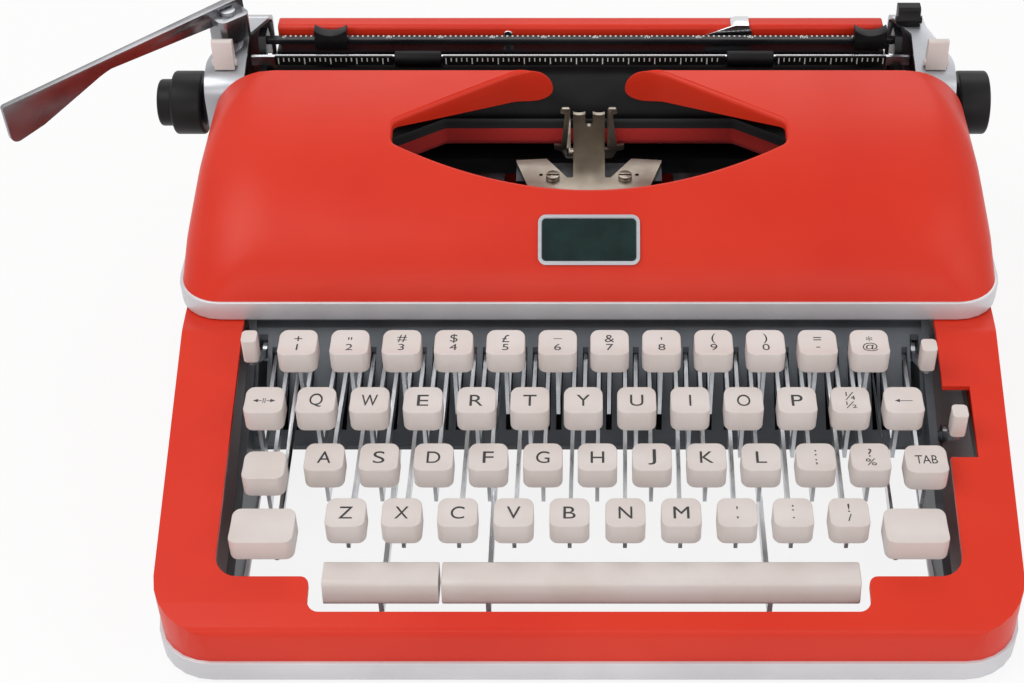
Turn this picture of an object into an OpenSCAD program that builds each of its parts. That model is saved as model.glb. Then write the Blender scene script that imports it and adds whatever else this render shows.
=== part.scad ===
// Manual typewriter with a red steel case and cream keys.
// Millimetres. X runs to the right, the typist sits at minus Y, and Z = 0 is the desk.

/* [Case] */
// Width of the case across its front corners
case_w = 301; // [290:1:315]
// Distance from the cover's front line to the front of the case
case_front = 122.5; // [118:0.5:128]
// Distance from the cover's front line to the back of the case
case_back = 138; // [136:0.5:146]
// Height of the rail in front of the space bar
front_h = 31.5; // [29.5:0.5:33]
// Height of the case under the ribbon cover
shoulder_h = 62; // [60.5:0.25:62.5]
// Sheet thickness of the lower case
case_wall = 2; // [1.6:0.1:2.6]
// Corner radius of the case seen from above
case_corner = 20; // [14:1:26]
// Height of the silver base band
base_h = 9; // [7:0.5:11]
// Height of the rubber feet
foot_h = 3; // [2:0.5:4]

/* [Keyboard] */
// Width of a key cap
cap_w = 14; // [12.5:0.25:15]
// Depth of a key cap
cap_d = 13.5; // [12:0.25:15]
// Height of a key cap
cap_h = 9; // [7.5:0.25:10]
// Hollow of a key cap's top
cap_dish = 0.9; // [0.4:0.1:1.4]
// Thickness of a key lever
lever_t = 1.4; // [1:0.1:1.6]
// Radius of the shaft that the key levers turn on
pivot_r = 3; // [2.5:0.25:4]
// Width of a slot in the key comb
comb_slot = 2.2; // [2:0.1:3]
// Depth of the space bar's top
bar_d = 10; // [8:0.5:11]

/* [Ribbon cover] */
// Height of the cover's rear edge
cover_h = 115; // [113:0.5:116]
// Sheet thickness of the cover
cover_wall = 1.6; // [1.2:0.1:2]
// Height of the silver trim under the cover
trim_h = 8.4; // [6:0.4:8.8]
// Front edge of the opening over the type bars
mouth_front = 31; // [28:0.5:36]
// Half width of the opening over the type bars
mouth_half = 75.5; // [68:0.5:82]
// Width of the badge plate
badge_w = 38; // [30:1:46]

/* [Carriage] */
// Radius of the platen
platen_r = 16.5; // [15:0.25:16.75]
// Half length of the platen
platen_half = 123.5; // [110:0.5:123.5]
// Radius of the platen knobs
knob_r = 13; // [11:0.5:14]
// Width of a platen knob
knob_w = 12.5; // [10:0.5:16]
// Radius of the rollers on the paper bail
bail_roller_r = 3; // [2.6:0.1:3.1]
// Length of a roller on the paper bail
bail_roller_w = 19; // [12:1:22]
// Reach of the return lever from its pivot
lever_reach = 99.5; // [90:0.5:108]
// Radius of a ribbon spool
spool_r = 21; // [18:0.5:22]
// Number of type bars
type_bar_count = 44; // [36:1:44]

/* [Hidden] */
$fn = 48;
fit = 0.05;

// Case lines
half_front = case_w / 2;
half_rear = half_front + 2.5;
case_z = foot_h + base_h;
rear_h = shoulder_h - 8;
mouth_x = half_front - 20.3;
mouth_y = -case_front + 7;
step_y = -case_front + 19.5;
step_x = 97;
frame_x = mouth_x - 0.6;
frame_t = 3;
frame_in = frame_x - frame_t;
// Sheet under the mechanism: front and rear edge, height, thickness and folded edge
pan_front = -11;
pan_rear = 66;
pan_z = foot_h + 2.5;
pan_t = 1.2;
pan_fold = 5;
// Finger cap of a side lever: width, depth and height
side_cap = [5.6, 6.6, 10];

// Key rows from the space bar backwards, with the front row first
row_y = [-84.5, -65, -46, -26];
row_top = [46.8, 54.5, 64.2, 74];
row_first = [-85.1, -93.9, -98, -105.9];
row_pitch = [19.57, 19.38, 19.19, 18.9];
row_count = [10, 11, 11, 12];
// Order of the rows from left to right in one group of four levers
row_slot = [1.1, 3, 2, 0];
lever_step = 4.7;
pivot_y = 60;
pivot_z = 36;
lever_line = [[-112, 29], [-84, 33], [-36, 41], [8, 46], [60, 36]];
lever_half = 2.5;

// Cover lines
cover_y = 88.5;
cover_z = shoulder_h + 0.4 + trim_h;
cover_half = half_rear + 2;
cover_corner = 16;
hinge_y = 82;
hinge_z = cover_h - 5.5;
hinge_r = 1.5;
trim_y = hinge_y + 4;

// Ribbon lines
ribbon_z = 80.5;
spool_y = 51.5;
spool_clear = 2.6;

// Bulge of the cover's side line, high enough to clear the front edge of the spools
bulge_y = 13;
bulge_a = cover_y - 2 * bulge_y;
bulge_t = (sqrt(bulge_y * bulge_y + bulge_a * (spool_y - spool_r)) - bulge_y) / bulge_a;
bulge_need = (ribbon_z + 15 + spool_clear - cover_z * pow(1 - bulge_t, 2) - cover_h * pow(bulge_t, 2))
  / (2 * bulge_t * (1 - bulge_t));
bulge_z = max(cover_h - 8.5, bulge_need);

// Carriage lines
carriage_x = -3.5;
platen_y = 108.5;
platen_z = 86;
shaft_r = 4;
plate_x = platen_half + 5;
plate_t = 3;
knob_x = plate_x + 25.9;
bail_y = platen_y + 2.8;
bail_z = platen_z + platen_r + bail_roller_r + 0.2;
bail_r = 1.6;
bail_half = platen_half + 10;
bail_pivot_y = 121;
bail_pivot_z = 94;
bail_arm_x = platen_half + 1.7;
rail_top = 65.6;
bed_top = rail_top + 3;
stop_rail_y = 120;
stop_rail_z = 106.5;
lever_x = -plate_x - 12.5;
lever_y = 112.5;
lever_z = 115.4;
lever_hub = 11;
lever_angle = 41.8;
lever_drop = 4;
tab_y = 101;
tab_z = 110.6;

// Points of an outline with each corner rounded by the radius beside it
function turn(a, b) = let (d = b - a) d > 180 ? d - 360 : d < -180 ? d + 360 : d;
function corner(p, q, s, r) =
  r == 0 ? [q] :
  let (
    u = (p - q) / norm(p - q),
    v = (s - q) / norm(s - q),
    half = acos(u * v) / 2,
    c = q + (u + v) / norm(u + v) * r / sin(half),
    a = q + u * r / tan(half) - c,
    b = q + v * r / tan(half) - c,
    start = atan2(a.y, a.x),
    sweep = turn(start, atan2(b.y, b.x))
  )
  [for (k = [0 : 6]) c + r * [cos(start + sweep * k / 6), sin(start + sweep * k / 6)]];
function rounded(list) = let (n = len(list)) [
  for (i = [0 : n - 1])
    let (p = list[(i + n - 1) % n], q = list[i], s = list[(i + 1) % n])
    each corner([p.x, p.y], [q.x, q.y], [s.x, s.y], q[2])
];

// Outline in Y and Z drawn along X, and outline in X and Z drawn along Y
module along_x(x0, x1) {
  translate([x0, 0, 0]) rotate([90, 0, 90]) linear_extrude(x1 - x0) children();
}
module along_y(y0, y1) {
  translate([0, y1, 0]) rotate([90, 0, 0]) linear_extrude(y1 - y0) children();
}
module rod_x(x0, x1, y, z, r) {
  translate([x0, y, z]) rotate([0, 90, 0]) cylinder(h = x1 - x0, r = r);
}
module box(x0, x1, y0, y1, z0, z1) {
  translate([x0, y0, z0]) cube([x1 - x0, y1 - y0, z1 - z0]);
}
module both_sides() {
  children();
  mirror([1, 0, 0]) children();
}
module round_rect(w, d, r) {
  square([w, d - 2 * r], center = true);
  square([w - 2 * r, d], center = true);
  for (x = [-1, 1], y = [-1, 1])
    translate([x * (w / 2 - r), y * (d / 2 - r)]) circle(r);
}

// Outline of the case from above, drawn in by a distance
module case_plan(inset) {
  f = half_front - inset;
  b = half_rear - inset;
  r = max(case_corner - inset, 3);
  polygon(rounded([
    [-f, -case_front + inset, r], [f, -case_front + inset, r], [b, 4, 0],
    [b, case_back - inset, max(r - 4, 3)], [-b, case_back - inset, max(r - 4, 3)], [-b, 4, 0]
  ]));
}

// Case body under its sloping top line, drawn in by a distance
module case_body(inset, top) {
  intersection() {
    translate([0, 0, case_z]) linear_extrude(90) case_plan(inset);
    along_x(-200, 200) polygon(rounded([
      [-case_front + inset, case_z - 1, 0], [case_back + 5, case_z - 1, 0],
      [case_back + 5, rear_h - top, 0], [cover_y + 0.8 - top, rear_h - top, 0],
      [cover_y + 0.8 - top, shoulder_h - top, 0], [-6, shoulder_h - top, 12],
      [-case_front + 10, front_h - top, 12], [-case_front + inset, front_h - 4 - top, 5]
    ]));
  }
}

module base_frame() {
  color("#b9babc") translate([0, 0, foot_h]) {
    linear_extrude(base_h) difference() {
      case_plan(-1.2);
      case_plan(1.6);
    }
    linear_extrude(2.5) difference() {
      case_plan(1);
      case_plan(26);
    }
  }
}

module rubber_feet() {
  color("#26262a") both_sides()
    for (y = [-case_front + 24, case_back - 22])
      translate([half_front - 12, y, 0]) cylinder(h = foot_h, r = 8);
}

module lower_case() {
  color("#d63a28") difference() {
    case_body(0, 0);
    difference() {
      translate([0, 0, -0.01]) case_body(case_wall, case_wall);
      box(-200, 200, -200, 200, -5, case_z - 0.5);
    }
    translate([0, 0, case_z - 2]) linear_extrude(90) polygon(rounded([
      [-mouth_x, 8, 0], [-mouth_x, step_y, 8], [-step_x, step_y, 3], [-step_x, mouth_y, 4],
      [step_x, mouth_y, 4], [step_x, step_y, 3], [mouth_x, step_y, 8], [mouth_x, 8, 0]
    ]));
    box(mouth_x - 2, mouth_x + 10, -58, -29.5, case_z + 8, 80);
    translate([0, 0, case_z + 8]) linear_extrude(90) polygon(rounded([
      [-half_rear + 12, 0, 0], [half_rear - 12, 0, 0],
      [half_rear - 12, case_back - 10, 6], [-half_rear + 12, case_back - 10, 6]
    ]));
  }
}

// Upright side plate with its bearings, at plus X
module side_plate() {
  difference() {
    along_x(frame_in, frame_x) polygon([
      [-96, foot_h + 2.5], [-96, 18], [-62, 27], [-36, 38], [-2, 51], [6, 59.5], [90, 59.5], [91, 56],
      [124, 54], [130, foot_h + 2.5]
    ]);
    rod_x(frame_in - 1, frame_x + 1, pivot_y, pivot_z, pivot_r + fit);
  }
  rod_x(frame_in - 5.6, frame_in, 0, 46, 2);
}
module frame_half() {
  side_plate();
  difference() {
    union() {
      box(120.2, 122.2, 76, hinge_y + hinge_r + 1.1, 56, hinge_z);
      rod_x(120.2, 122.2, hinge_y, hinge_z, hinge_r + 1.1);
      box(120.2, frame_in, 76, hinge_y + hinge_r + 1.1, 56, 59);
    }
    rod_x(119, 124, hinge_y, hinge_z, hinge_r);
  }
  box(70, frame_in, 30, 72, 66, 68);
  box(122.2, frame_in, 34, 40, 59, 66);
  box(122.2, frame_in, 62, 68, 59, 66);
  translate([96, spool_y, 68]) cylinder(h = ribbon_z - 71.4, r = 7);
  translate([96, spool_y, 68]) cylinder(h = ribbon_z - 50.6, r = 2.5);
  difference() {
    box(107, frame_in, 106, 118, 40, 54.8);
    translate([112.5, 112, 30]) cylinder(h = 30, r = 4 + fit);
  }
}
module main_frame() {
  color("#4b4f54") {
    both_sides() frame_half();
    box(-frame_in, frame_in, 66, 76, 55, 59);
    box(-frame_in, frame_in, 120, 124, 14, 24);
    box(62, 98, 106, 124, 22, 25);
    translate([80, 112, 25]) cylinder(h = 22, r = 2.5);
    rod_x(frame_x, frame_x + 5, -34, 34, 2);
  }
}

// Thin sheet under the mechanism, folded up at both ends
module bottom_pan() {
  color("#2e3134") along_x(-frame_in, frame_in) polygon([
    [pan_front, pan_z], [pan_rear, pan_z], [pan_rear, pan_z + pan_fold],
    [pan_rear - pan_t, pan_z + pan_fold], [pan_rear - pan_t, pan_z + pan_t],
    [pan_front + pan_t, pan_z + pan_t], [pan_front + pan_t, pan_z + pan_fold],
    [pan_front, pan_z + pan_fold]
  ]);
}

// Height of a lever's centre line at a distance from the front
function lever_z_at(y) = lookup(y, lever_line);

// Side outline of a lever that ends in a stem at y and reaches up to z
module lever_outline(y, z) {
  knees = [for (k = [len(lever_line) - 1 : -1 : 0]) if (lever_line[k].x > y + 4) lever_line[k].x];
  back = len(knees) - 1;
  difference() {
    union() {
      polygon(concat(
        [for (k = knees) [k, lever_z_at(k) + lever_half]],
        [[y + 2, lever_z_at(y + 2) + lever_half], [y + 2, z], [y - 2, z],
         [y - 2, lever_z_at(y - 2) - lever_half]],
        [for (k = [back : -1 : 0]) [knees[k], lever_z_at(knees[k]) - lever_half]]
      ));
      translate([pivot_y, pivot_z]) circle(pivot_r + 3);
    }
    translate([pivot_y, pivot_z]) circle(pivot_r + fit);
  }
}
module straight_lever(x, y, z) {
  along_x(x - lever_t / 2, x + lever_t / 2) lever_outline(y, z);
}

// Place on the pivot shaft of the lever of key i in a row
function key_x(row, i) = row_first[row] + row_pitch[row] * i;
function lever_x_at(row, i) = (4 * i + row_slot[row] - (row == 0 ? -4 : 0) - 22) * lever_step;
function lever_turn(row, i) = atan2(key_x(row, i) - lever_x_at(row, i), pivot_y - row_y[row]);

// Frame of a key's lever, with the lever along its Y
module on_lever(row, i) {
  translate([lever_x_at(row, i), pivot_y, 0]) rotate([0, 0, lever_turn(row, i)])
    translate([0, -pivot_y, 0]) children();
}
module row_levers(row) {
  for (i = [0 : row_count[row] - 1])
    on_lever(row, i) straight_lever(0, row_y[row], row_top[row] - cap_h);
}

// Key cap with a hollow top, its top edge at z
module key_cap(x, y, z, w = cap_w, d = cap_d) {
  hollow = (d * d / 4 + cap_dish * cap_dish) / (2 * cap_dish);
  translate([x, y, z - cap_h]) difference() {
    linear_extrude(cap_h) round_rect(w, d, 3.2);
    translate([0, 0, cap_h + hollow - cap_dish]) rotate([0, 90, 0])
      cylinder(h = w + 2, r = hollow, center = true, $fn = 96);
  }
}
module row_caps(row) {
  for (i = [0 : row_count[row] - 1])
    key_cap(key_x(row, i), row_y[row], row_top[row]);
}

module bottom_row_caps() { color("#ddd4c8") row_caps(0); }
module home_row_caps() { color("#ddd4c8") row_caps(1); }
module upper_row_caps() { color("#ddd4c8") row_caps(2); }
module number_row_caps() { color("#ddd4c8") row_caps(3); }
module bottom_row_levers() { color("#8f9295") row_levers(0); }
module home_row_levers() { color("#8f9295") row_levers(1); }
module upper_row_levers() { color("#8f9295") row_levers(2); }
module number_row_levers() { color("#8f9295") row_levers(3); }

// Function key: a cap at x on a lever at lx
module function_key(x, lx, y, z, w, d) {
  color("#ddd4c8") {
    key_cap(x, y, z, w, d);
    straight_lever(lx, y, z - cap_h);
  }
}
module left_shift() { function_key(-113.8, -110, -89.5, 45.5, 22.4, 16); }
module right_shift() { function_key(114, 108.1, -89.5, 45.5, 22, 16); }
module shift_lock() { function_key(-115, -114.6, row_y[1] - 3, 53.5, 15, cap_d); }
module margin_release() { function_key(-116.6, -119.4, row_y[2], row_top[2], cap_w, cap_d); }
module backspace() { function_key(113, 111.5, row_y[2], row_top[2], cap_w, cap_d); }
module tabulator() { function_key(119.6, 120, row_y[1] - 1, row_top[1], 15, cap_d); }

// Bar from x0 to x1 with a sloping front
module bar_body(x0, x1) {
  along_x(x0, x1) polygon(rounded([
    [-97.4, 36, 1.2], [-97.4 - bar_d, 36, 2.4], [-99.6 - bar_d, 26, 1.5], [-98.5, 26, 0.8]
  ]));
}
module bar_arm(x) {
  along_x(x - 0.9, x + 0.9) difference() {
    union() {
      polygon([
        [60, 39], [8, 27.5], [-36, 21], [-101, 21], [-101, 26], [-105, 26], [-105, 16], [-36, 16],
        [8, 21.5], [60, 33]
      ]);
      translate([pivot_y, pivot_z]) circle(pivot_r + 3);
    }
    translate([pivot_y, pivot_z]) circle(pivot_r + fit);
  }
}
module space_bar() {
  color("#ddd4c8") {
    bar_body(-51, 94);
    bar_arm(lever_x_at(1, 3) - lever_step / 2);
    bar_arm(lever_x_at(1, 8) + lever_step / 2);
  }
}
module repeat_spacer() {
  color("#ddd4c8") {
    bar_body(-92.2, -52);
    bar_arm(lever_x_at(1, 1) - lever_step / 2);
  }
}

// Small lever with a finger cap beside the keys
module side_lever(x, py, pz, y, z) {
  low = z - side_cap[2];
  color("#ddd4c8") {
    along_x(x - 0.8, x + 0.8) difference() {
      union() {
        polygon([[py + 3, pz], [py - 3, pz - 1], [y - 2.5, low - 2], [y - 2.5, low],
          [y + 2.5, low], [y + 2.5, low - 4]]);
        translate([py, pz]) circle(4);
      }
      translate([py, pz]) circle(2 + fit);
    }
    translate([x, y, low]) linear_extrude(side_cap[2]) round_rect(side_cap[0], side_cap[1], 1.6);
  }
}
module touch_lever() { side_lever(-frame_in + 3, 0, 46, -24, 75); }
module ribbon_color_lever() { side_lever(frame_in - 3, 0, 46, -26.5, 73); }
module ribbon_reverse_lever() { side_lever(frame_x + 3, -34, 34, -50.5, 63); }

// Slotted guide plate; its slots end where the pressed levers reach
comb_front = -28.5;
comb_rear = -3;
module key_comb() {
  color("#54585d") difference() {
    along_x(-frame_in, frame_in) polygon([
      [6, 58], [6, 56], [3, 55.2], [-32, 29], [-34, 28.4], [-34, 26.6], [-31, 26.6], [4, 53],
      [8, 54.2], [8, 58]
    ]);
    for (row = [0 : 3], i = [0 : row_count[row] - 1])
      on_lever(row, i) box(-comb_slot / 2, comb_slot / 2, comb_front, comb_rear, 20, 80);
    for (x = [-119.4, -114.6, -110, 108.1, 111.5, 120])
      box(x - comb_slot / 2, x + comb_slot / 2, comb_front, comb_rear, 20, 80);
    both_sides() box(frame_in - 4.4, frame_in - 1, -30.5, 1, 20, 80);
  }
}

module pivot_shaft() {
  color("#a5a8ab") rod_x(-frame_x, frame_x, pivot_y, pivot_z, pivot_r);
}

// Fan of the type bars about a point behind the segment
fan_y = 72;
fan_from = 198;
fan_step = 144 / (type_bar_count - 1);
module fan() {
  for (i = [0 : type_bar_count - 1])
    translate([0, fan_y, 0]) rotate([0, 0, fan_from + fan_step * i]) children();
}

module segment() {
  color("#7b7d80") difference() {
    union() {
      translate([0, fan_y, 59]) cylinder(h = 3, r = 48);
      difference() {
        translate([0, fan_y, 61]) cylinder(h = 13, r = 48);
        translate([0, fan_y, 60]) cylinder(h = 16, r = 34);
      }
    }
    fan() box(33, 50, -0.75, 0.75, 68, 80);
    box(-60, 60, fan_y + 4, 140, 50, 90);
    both_sides() box(46, 60, fan_y - 14, 90, 50, 90);
  }
  color("#7b7d80") box(-29, 29, 64, fan_y + 4, 62, 79);
}

module type_bars() {
  color("#b4b6b8") fan() {
    along_y(-0.5, 0.5) polygon([[35, 68.6], [62, 68.2], [62, 74], [58, 74], [57, 71.5],
      [48, 73.5], [35, 73.5]]);
    box(58.2, 62, -1.1, 1.1, 74, 76.4);
  }
}

guide_half = 6.3;
guide_top = 99.8;
module type_guide() {
  color("#8d857c") {
    difference() {
      translate([0, 0, 79]) linear_extrude(1.6) polygon(rounded([
        [-23.4, 56, 0], [23.4, 56, 0], [29.4, 75.8, 0.6], [17, 76.8, 0.6], [8.6, 64.2, 1],
        [guide_half, 64.2, 0.8], [guide_half, 81.4, 0], [-guide_half, 81.4, 0],
        [-guide_half, 64.2, 0.8], [-8.6, 64.2, 1], [-17, 76.8, 0.6], [-29.4, 75.8, 0.6]
      ]));
      for (x = [-19.1, 19.1]) translate([x, 66, 70]) cylinder(h = 20, r = 0.8);
    }
    difference() {
      along_y(80.6, 82.4) polygon(rounded([
        [-guide_half, 79, 0], [guide_half, 79, 0], [guide_half, guide_top, 0.4],
        [-guide_half, guide_top, 0.4]
      ]));
      along_y(80, 83) {
        translate([0, guide_top - 4.6]) circle(1.5);
        translate([-1.5, guide_top - 4.6]) square([3, 8]);
        for (x = [-4, 4]) translate([x, guide_top + 5]) circle(5.7);
      }
    }
  }
}

module guide_screws() {
  color("#a8a49c") for (x = [-14.3, 14.3])
    translate([x, 63.9, 80.6]) difference() {
      cylinder(h = 1.8, r = 2.7);
      box(-4, 4, -0.4, 0.4, 1, 3);
    }
}

module case_screws() {
  color("#a8a8ab") both_sides() for (y = [34, 108])
    rod_x(half_rear + 1.2, half_rear + 2.4, y, foot_h + base_h / 2, 2.6);
}

module hinge_pins() {
  color("#a5a8ab") both_sides() rod_x(112, 122.8, hinge_y, hinge_z, hinge_r);
}

module margin_bell() {
  color("#b9a36a") translate([80, 112, 31]) rotate_extrude() difference() {
    intersection() {
      circle(16);
      square([20, 20]);
    }
    circle(14.6);
    square([2.6, 20]);
  }
}

// Plan line of the ribbon from the left spool past the platen to the right spool
module ribbon() {
  color("#3b2024") translate([0, 0, ribbon_z]) linear_extrude(12)
    polygon([[-90, 66.2], [-58, 87.6], [58, 87.6], [90, 66.2], [90, 65.7], [57.9, 87.2],
      [-57.9, 87.2], [-90, 65.7]]);
}

// Spool with the ribbon wound on it between two flanges
module spool(x) {
  color("#55585c") translate([x, spool_y, ribbon_z]) difference() {
    union() {
      translate([0, 0, -3]) cylinder(h = 1.4, r = spool_r);
      translate([0, 0, -1.6]) cylinder(h = 15.2, r = spool_r - 6);
      translate([0, 0, 13.6]) cylinder(h = 1.4, r = spool_r);
      translate([0, 0, 15]) cylinder(h = 1.6, r = 6);
    }
    translate([0, 0, -9]) cylinder(h = 40, r = 2.5 + fit);
    for (a = [0 : 90 : 270])
      rotate([0, 0, a]) translate([spool_r - 10, 0, 11]) cylinder(h = 10, r = 3);
  }
}
module left_spool() { spool(-96); }
module right_spool() { spool(96); }

module ribbon_carrier() {
  color("#8b8e90") along_y(82.7, 84.1) {
    translate([-9, 76.5]) square([18, 5]);
    both_sides() polygon(rounded([
      [7.4, 76.5, 0], [9.6, 76.5, 1.5], [11.2, 80, 0], [14.2, 80.8, 0.6], [14.2, 83.4, 0.6],
      [11.2, 82.8, 0], [9.5, 98, 0], [11.4, 98.6, 0.5], [11, 100.6, 0.9], [7.4, 100.6, 0.9]
    ]));
  }
}

// Side line of the cover, a curve from the trim to the rear edge
function blend(a, b, c, t) = a * (1 - t) * (1 - t) + b * 2 * t * (1 - t) + c * t * t;
function cover_line(inset) = [
  for (k = [0 : 14])
    blend([inset, cover_z], [bulge_y + inset, bulge_z - inset], [cover_y, cover_h - inset], k / 14)
];
module cover_body(inset) {
  intersection() {
    along_x(-180, 180) polygon(concat(cover_line(inset),
      [[cover_y, cover_z - inset], [inset, cover_z - inset]]));
    along_y(-5, 100) polygon(rounded([
      [-cover_half + inset, cover_z - 5, 0], [cover_half - inset, cover_z - 5, 0],
      [cover_half - 1.5 - inset, cover_z + 10, 0],
      [cover_half - 9 - inset, cover_h - inset, 27], [-cover_half + 9 + inset, cover_h - inset, 27],
      [-cover_half + 1.5 + inset, cover_z + 10, 0]
    ]));
    translate([0, 0, 50]) linear_extrude(80) polygon(rounded([
      [-cover_half + inset, inset, cover_corner - inset],
      [cover_half - inset, inset, cover_corner - inset],
      [cover_half - inset, 100, 0], [-cover_half + inset, 100, 0]
    ]));
  }
}

// Boat shaped opening over the type bars, with a gap to the rear between two horns
tip_y = 51;
horn_y = tip_y + 9.6;
horn_x = 27.6;
horn_end = 14.3;
horn_back = cover_y - 1.5;
horn_low = max(cover_h - 18.7, ribbon_z + 15.6);
horn_r = min(8, (cover_h - 0.6 - horn_low) / 2 - 0.1);
module cover_mouth() {
  depth = tip_y - mouth_front;
  r = (mouth_half * mouth_half + depth * depth) / (2 * depth);
  intersection() {
    translate([0, mouth_front + r]) circle(r, $fn = 96);
    polygon(rounded([
      [-100, 0, 0], [100, 0, 0], [mouth_half, tip_y - 2, 0], [mouth_half, horn_y, 4],
      [horn_x, horn_back, 0], [-horn_x, horn_back, 0], [-mouth_half, horn_y, 4],
      [-mouth_half, tip_y - 2, 0]
    ]));
  }
  translate([-horn_x, horn_back - 0.5]) square([2 * horn_x, 20]);
}
// Wall that is turned down from the horn's edge and ends in a round tongue
module cover_horn() {
  intersection() {
    cover_body(0.2);
    linear_extrude(140) polygon([
      [mouth_half - 5, horn_y + 2.6], [horn_x, horn_back], [horn_end, horn_back],
      [horn_end, cover_y], [horn_x + 0.6, cover_y], [mouth_half - 4.2, horn_y + 4.2]
    ]);
    along_y(50, 100) polygon(rounded([
      [80, cover_h - 7, 0], [horn_end, horn_low, horn_r], [horn_end, cover_h - 0.6, horn_r],
      [horn_x + 1, cover_h - 0.6, 0], [horn_x + 1, 140, 0], [80, 140, 0]
    ]));
  }
}
module cover_ear() {
  difference() {
    union() {
      rod_x(115.4, 118.4, hinge_y, hinge_z, hinge_r + 1.6);
      intersection() {
        box(115.4, 118.4, hinge_y - 3, hinge_y + 3, hinge_z, 130);
        cover_body(0.3);
      }
    }
    rod_x(110, 126, hinge_y, hinge_z, hinge_r + fit);
  }
}
module ribbon_cover() {
  color("#d63a28") {
    difference() {
      cover_body(0);
      translate([0, 0.01, 0]) cover_body(cover_wall);
      box(-cover_half + cover_wall, cover_half - cover_wall, 16, 110, cover_z - 3, cover_z + 3);
      translate([0, 0, 80]) linear_extrude(60) cover_mouth();
    }
    both_sides() {
      cover_horn();
      cover_ear();
    }
  }
}

module cover_trim() {
  color("#b9babc") translate([0, 0, shoulder_h + 0.4]) linear_extrude(trim_h) difference() {
    polygon(rounded([
      [-cover_half - 0.8, -0.8, cover_corner + 0.8], [cover_half + 0.8, -0.8, cover_corner + 0.8],
      [cover_half + 0.8, trim_y, 0], [-cover_half - 0.8, trim_y, 0]
    ]));
    polygon(rounded([
      [-cover_half + 3, 3, cover_corner - 3], [cover_half - 3, 3, cover_corner - 3],
      [cover_half - 3, trim_y + 1, 0], [-cover_half + 3, trim_y + 1, 0]
    ]));
  }
}

// Plate on the slope of the cover's front
badge_tilt = 44;
module badge_plate() {
  badge_at = blend([0, cover_z], [bulge_y, bulge_z], [cover_y, cover_h], 0.3);
  color("#2c3331") intersection() {
    translate([0, badge_at.x, badge_at.y]) rotate([badge_tilt, 0, 0])
      translate([0, 0, -4]) linear_extrude(8) round_rect(badge_w, 19, 3);
    difference() {
      translate([0, -0.7, 1]) cover_body(0);
      cover_body(0);
    }
  }
}

// Rails that carry the carriage, on two lifting pins
module carriage_rail() {
  color("#8b8e90") {
    for (y = [96, 122]) box(-118, 118, y, y + 6, rail_top - 6, rail_top);
    both_sides() {
      box(107, 118, 96, 128, 55.2, rail_top - 5);
      translate([112.5, 112, 38]) cylinder(h = 18, r = 4);
    }
  }
}

module on_carriage() {
  translate([carriage_x, 0, 0]) children();
}

// End plate of the carriage at plus X
module end_plate() {
  difference() {
    along_x(plate_x, plate_x + plate_t) polygon([
      [93, rail_top + 0.4], [93, 92], [99, 99], [115, 100.5], [119, 111], [126, 111], [130, 104],
      [131, rail_top + 0.4]
    ]);
    rod_x(plate_x - 1, plate_x + plate_t + 1, platen_y, platen_z, shaft_r + fit);
  }
  rod_x(bail_arm_x - 0.6, plate_x, bail_pivot_y, bail_pivot_z, 2);
}
module carriage_frame() {
  color("#55595d") on_carriage() {
    box(-plate_x, plate_x, 93, 131, rail_top + 0.4, bed_top);
    box(-plate_x, plate_x, 93, 95.5, rail_top - 4.6, rail_top + 0.4);
    box(-plate_x, plate_x, 128.5, 131, rail_top - 4.6, rail_top + 0.4);
    both_sides() end_plate();
    box(-platen_half - 0.9, platen_half + 0.9, 118, 126, 103, 104.4);
  }
}

// Hollow end cover at minus X, with its thin side walls open towards the platen
module cover_shape(inset) {
  outer = -plate_x - 22 + inset;
  inner = -plate_x - 6 + 8 * inset;
  intersection() {
    along_x(-plate_x - 30, -plate_x + 8) polygon(rounded([
      [91 + inset, 66 - inset, 0], [91 + inset, 105.5 - inset, 9],
      [126, 116.6 - inset, 3], [134.5 - inset, 112 - inset, 4], [134.5 - inset, 66 - inset, 0]
    ]));
    translate([0, 0, 60]) linear_extrude(70) polygon(rounded([
      [outer, 80, 0], [inner, 80, 0], [inner, 117, 0], [inner + 7, 125, 0], [inner + 7, 140, 0],
      [outer + 10.5, 140, 0], [outer + 10.5, 122, 12], [outer, 104, 12]
    ]));
  }
}
module end_cover_body() {
  difference() {
    cover_shape(0);
    cover_shape(1.5);
    rod_x(-plate_x - 30, -plate_x + 8, platen_y, platen_z, 6);
  }
}
module left_end_cover() {
  color("#c3c4c6") on_carriage() {
    end_cover_body();
    difference() {
      translate([lever_x, lever_y, 106]) cylinder(h = lever_z - 106.4, r = 4.5);
      cover_shape(1);
    }
    translate([lever_x, lever_y, lever_z - 1]) cylinder(h = lever_hub + 2.4, r = 3);
  }
}
module right_end_cover() {
  color("#c3c4c6") on_carriage() mirror([1, 0, 0]) end_cover_body();
}

module paper_table() {
  color("#d63a28") on_carriage() along_x(-platen_half - 1, platen_half + 1) difference() {
    polygon(rounded([[126, bed_top, 0], [126, 111.6, 2], [134.5, 111.6, 3], [134.5, bed_top + 3, 0]]));
    polygon(rounded([[127.4, 60, 0], [127.4, 110.2, 0.8], [133.1, 110.2, 1.8], [133.1, 60, 0]]));
  }
}

module margin_rail() {
  color("#a5a8ab") on_carriage()
    box(-plate_x, plate_x, stop_rail_y, stop_rail_y + 3.2, stop_rail_z, stop_rail_z + 2.6);
}

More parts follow.
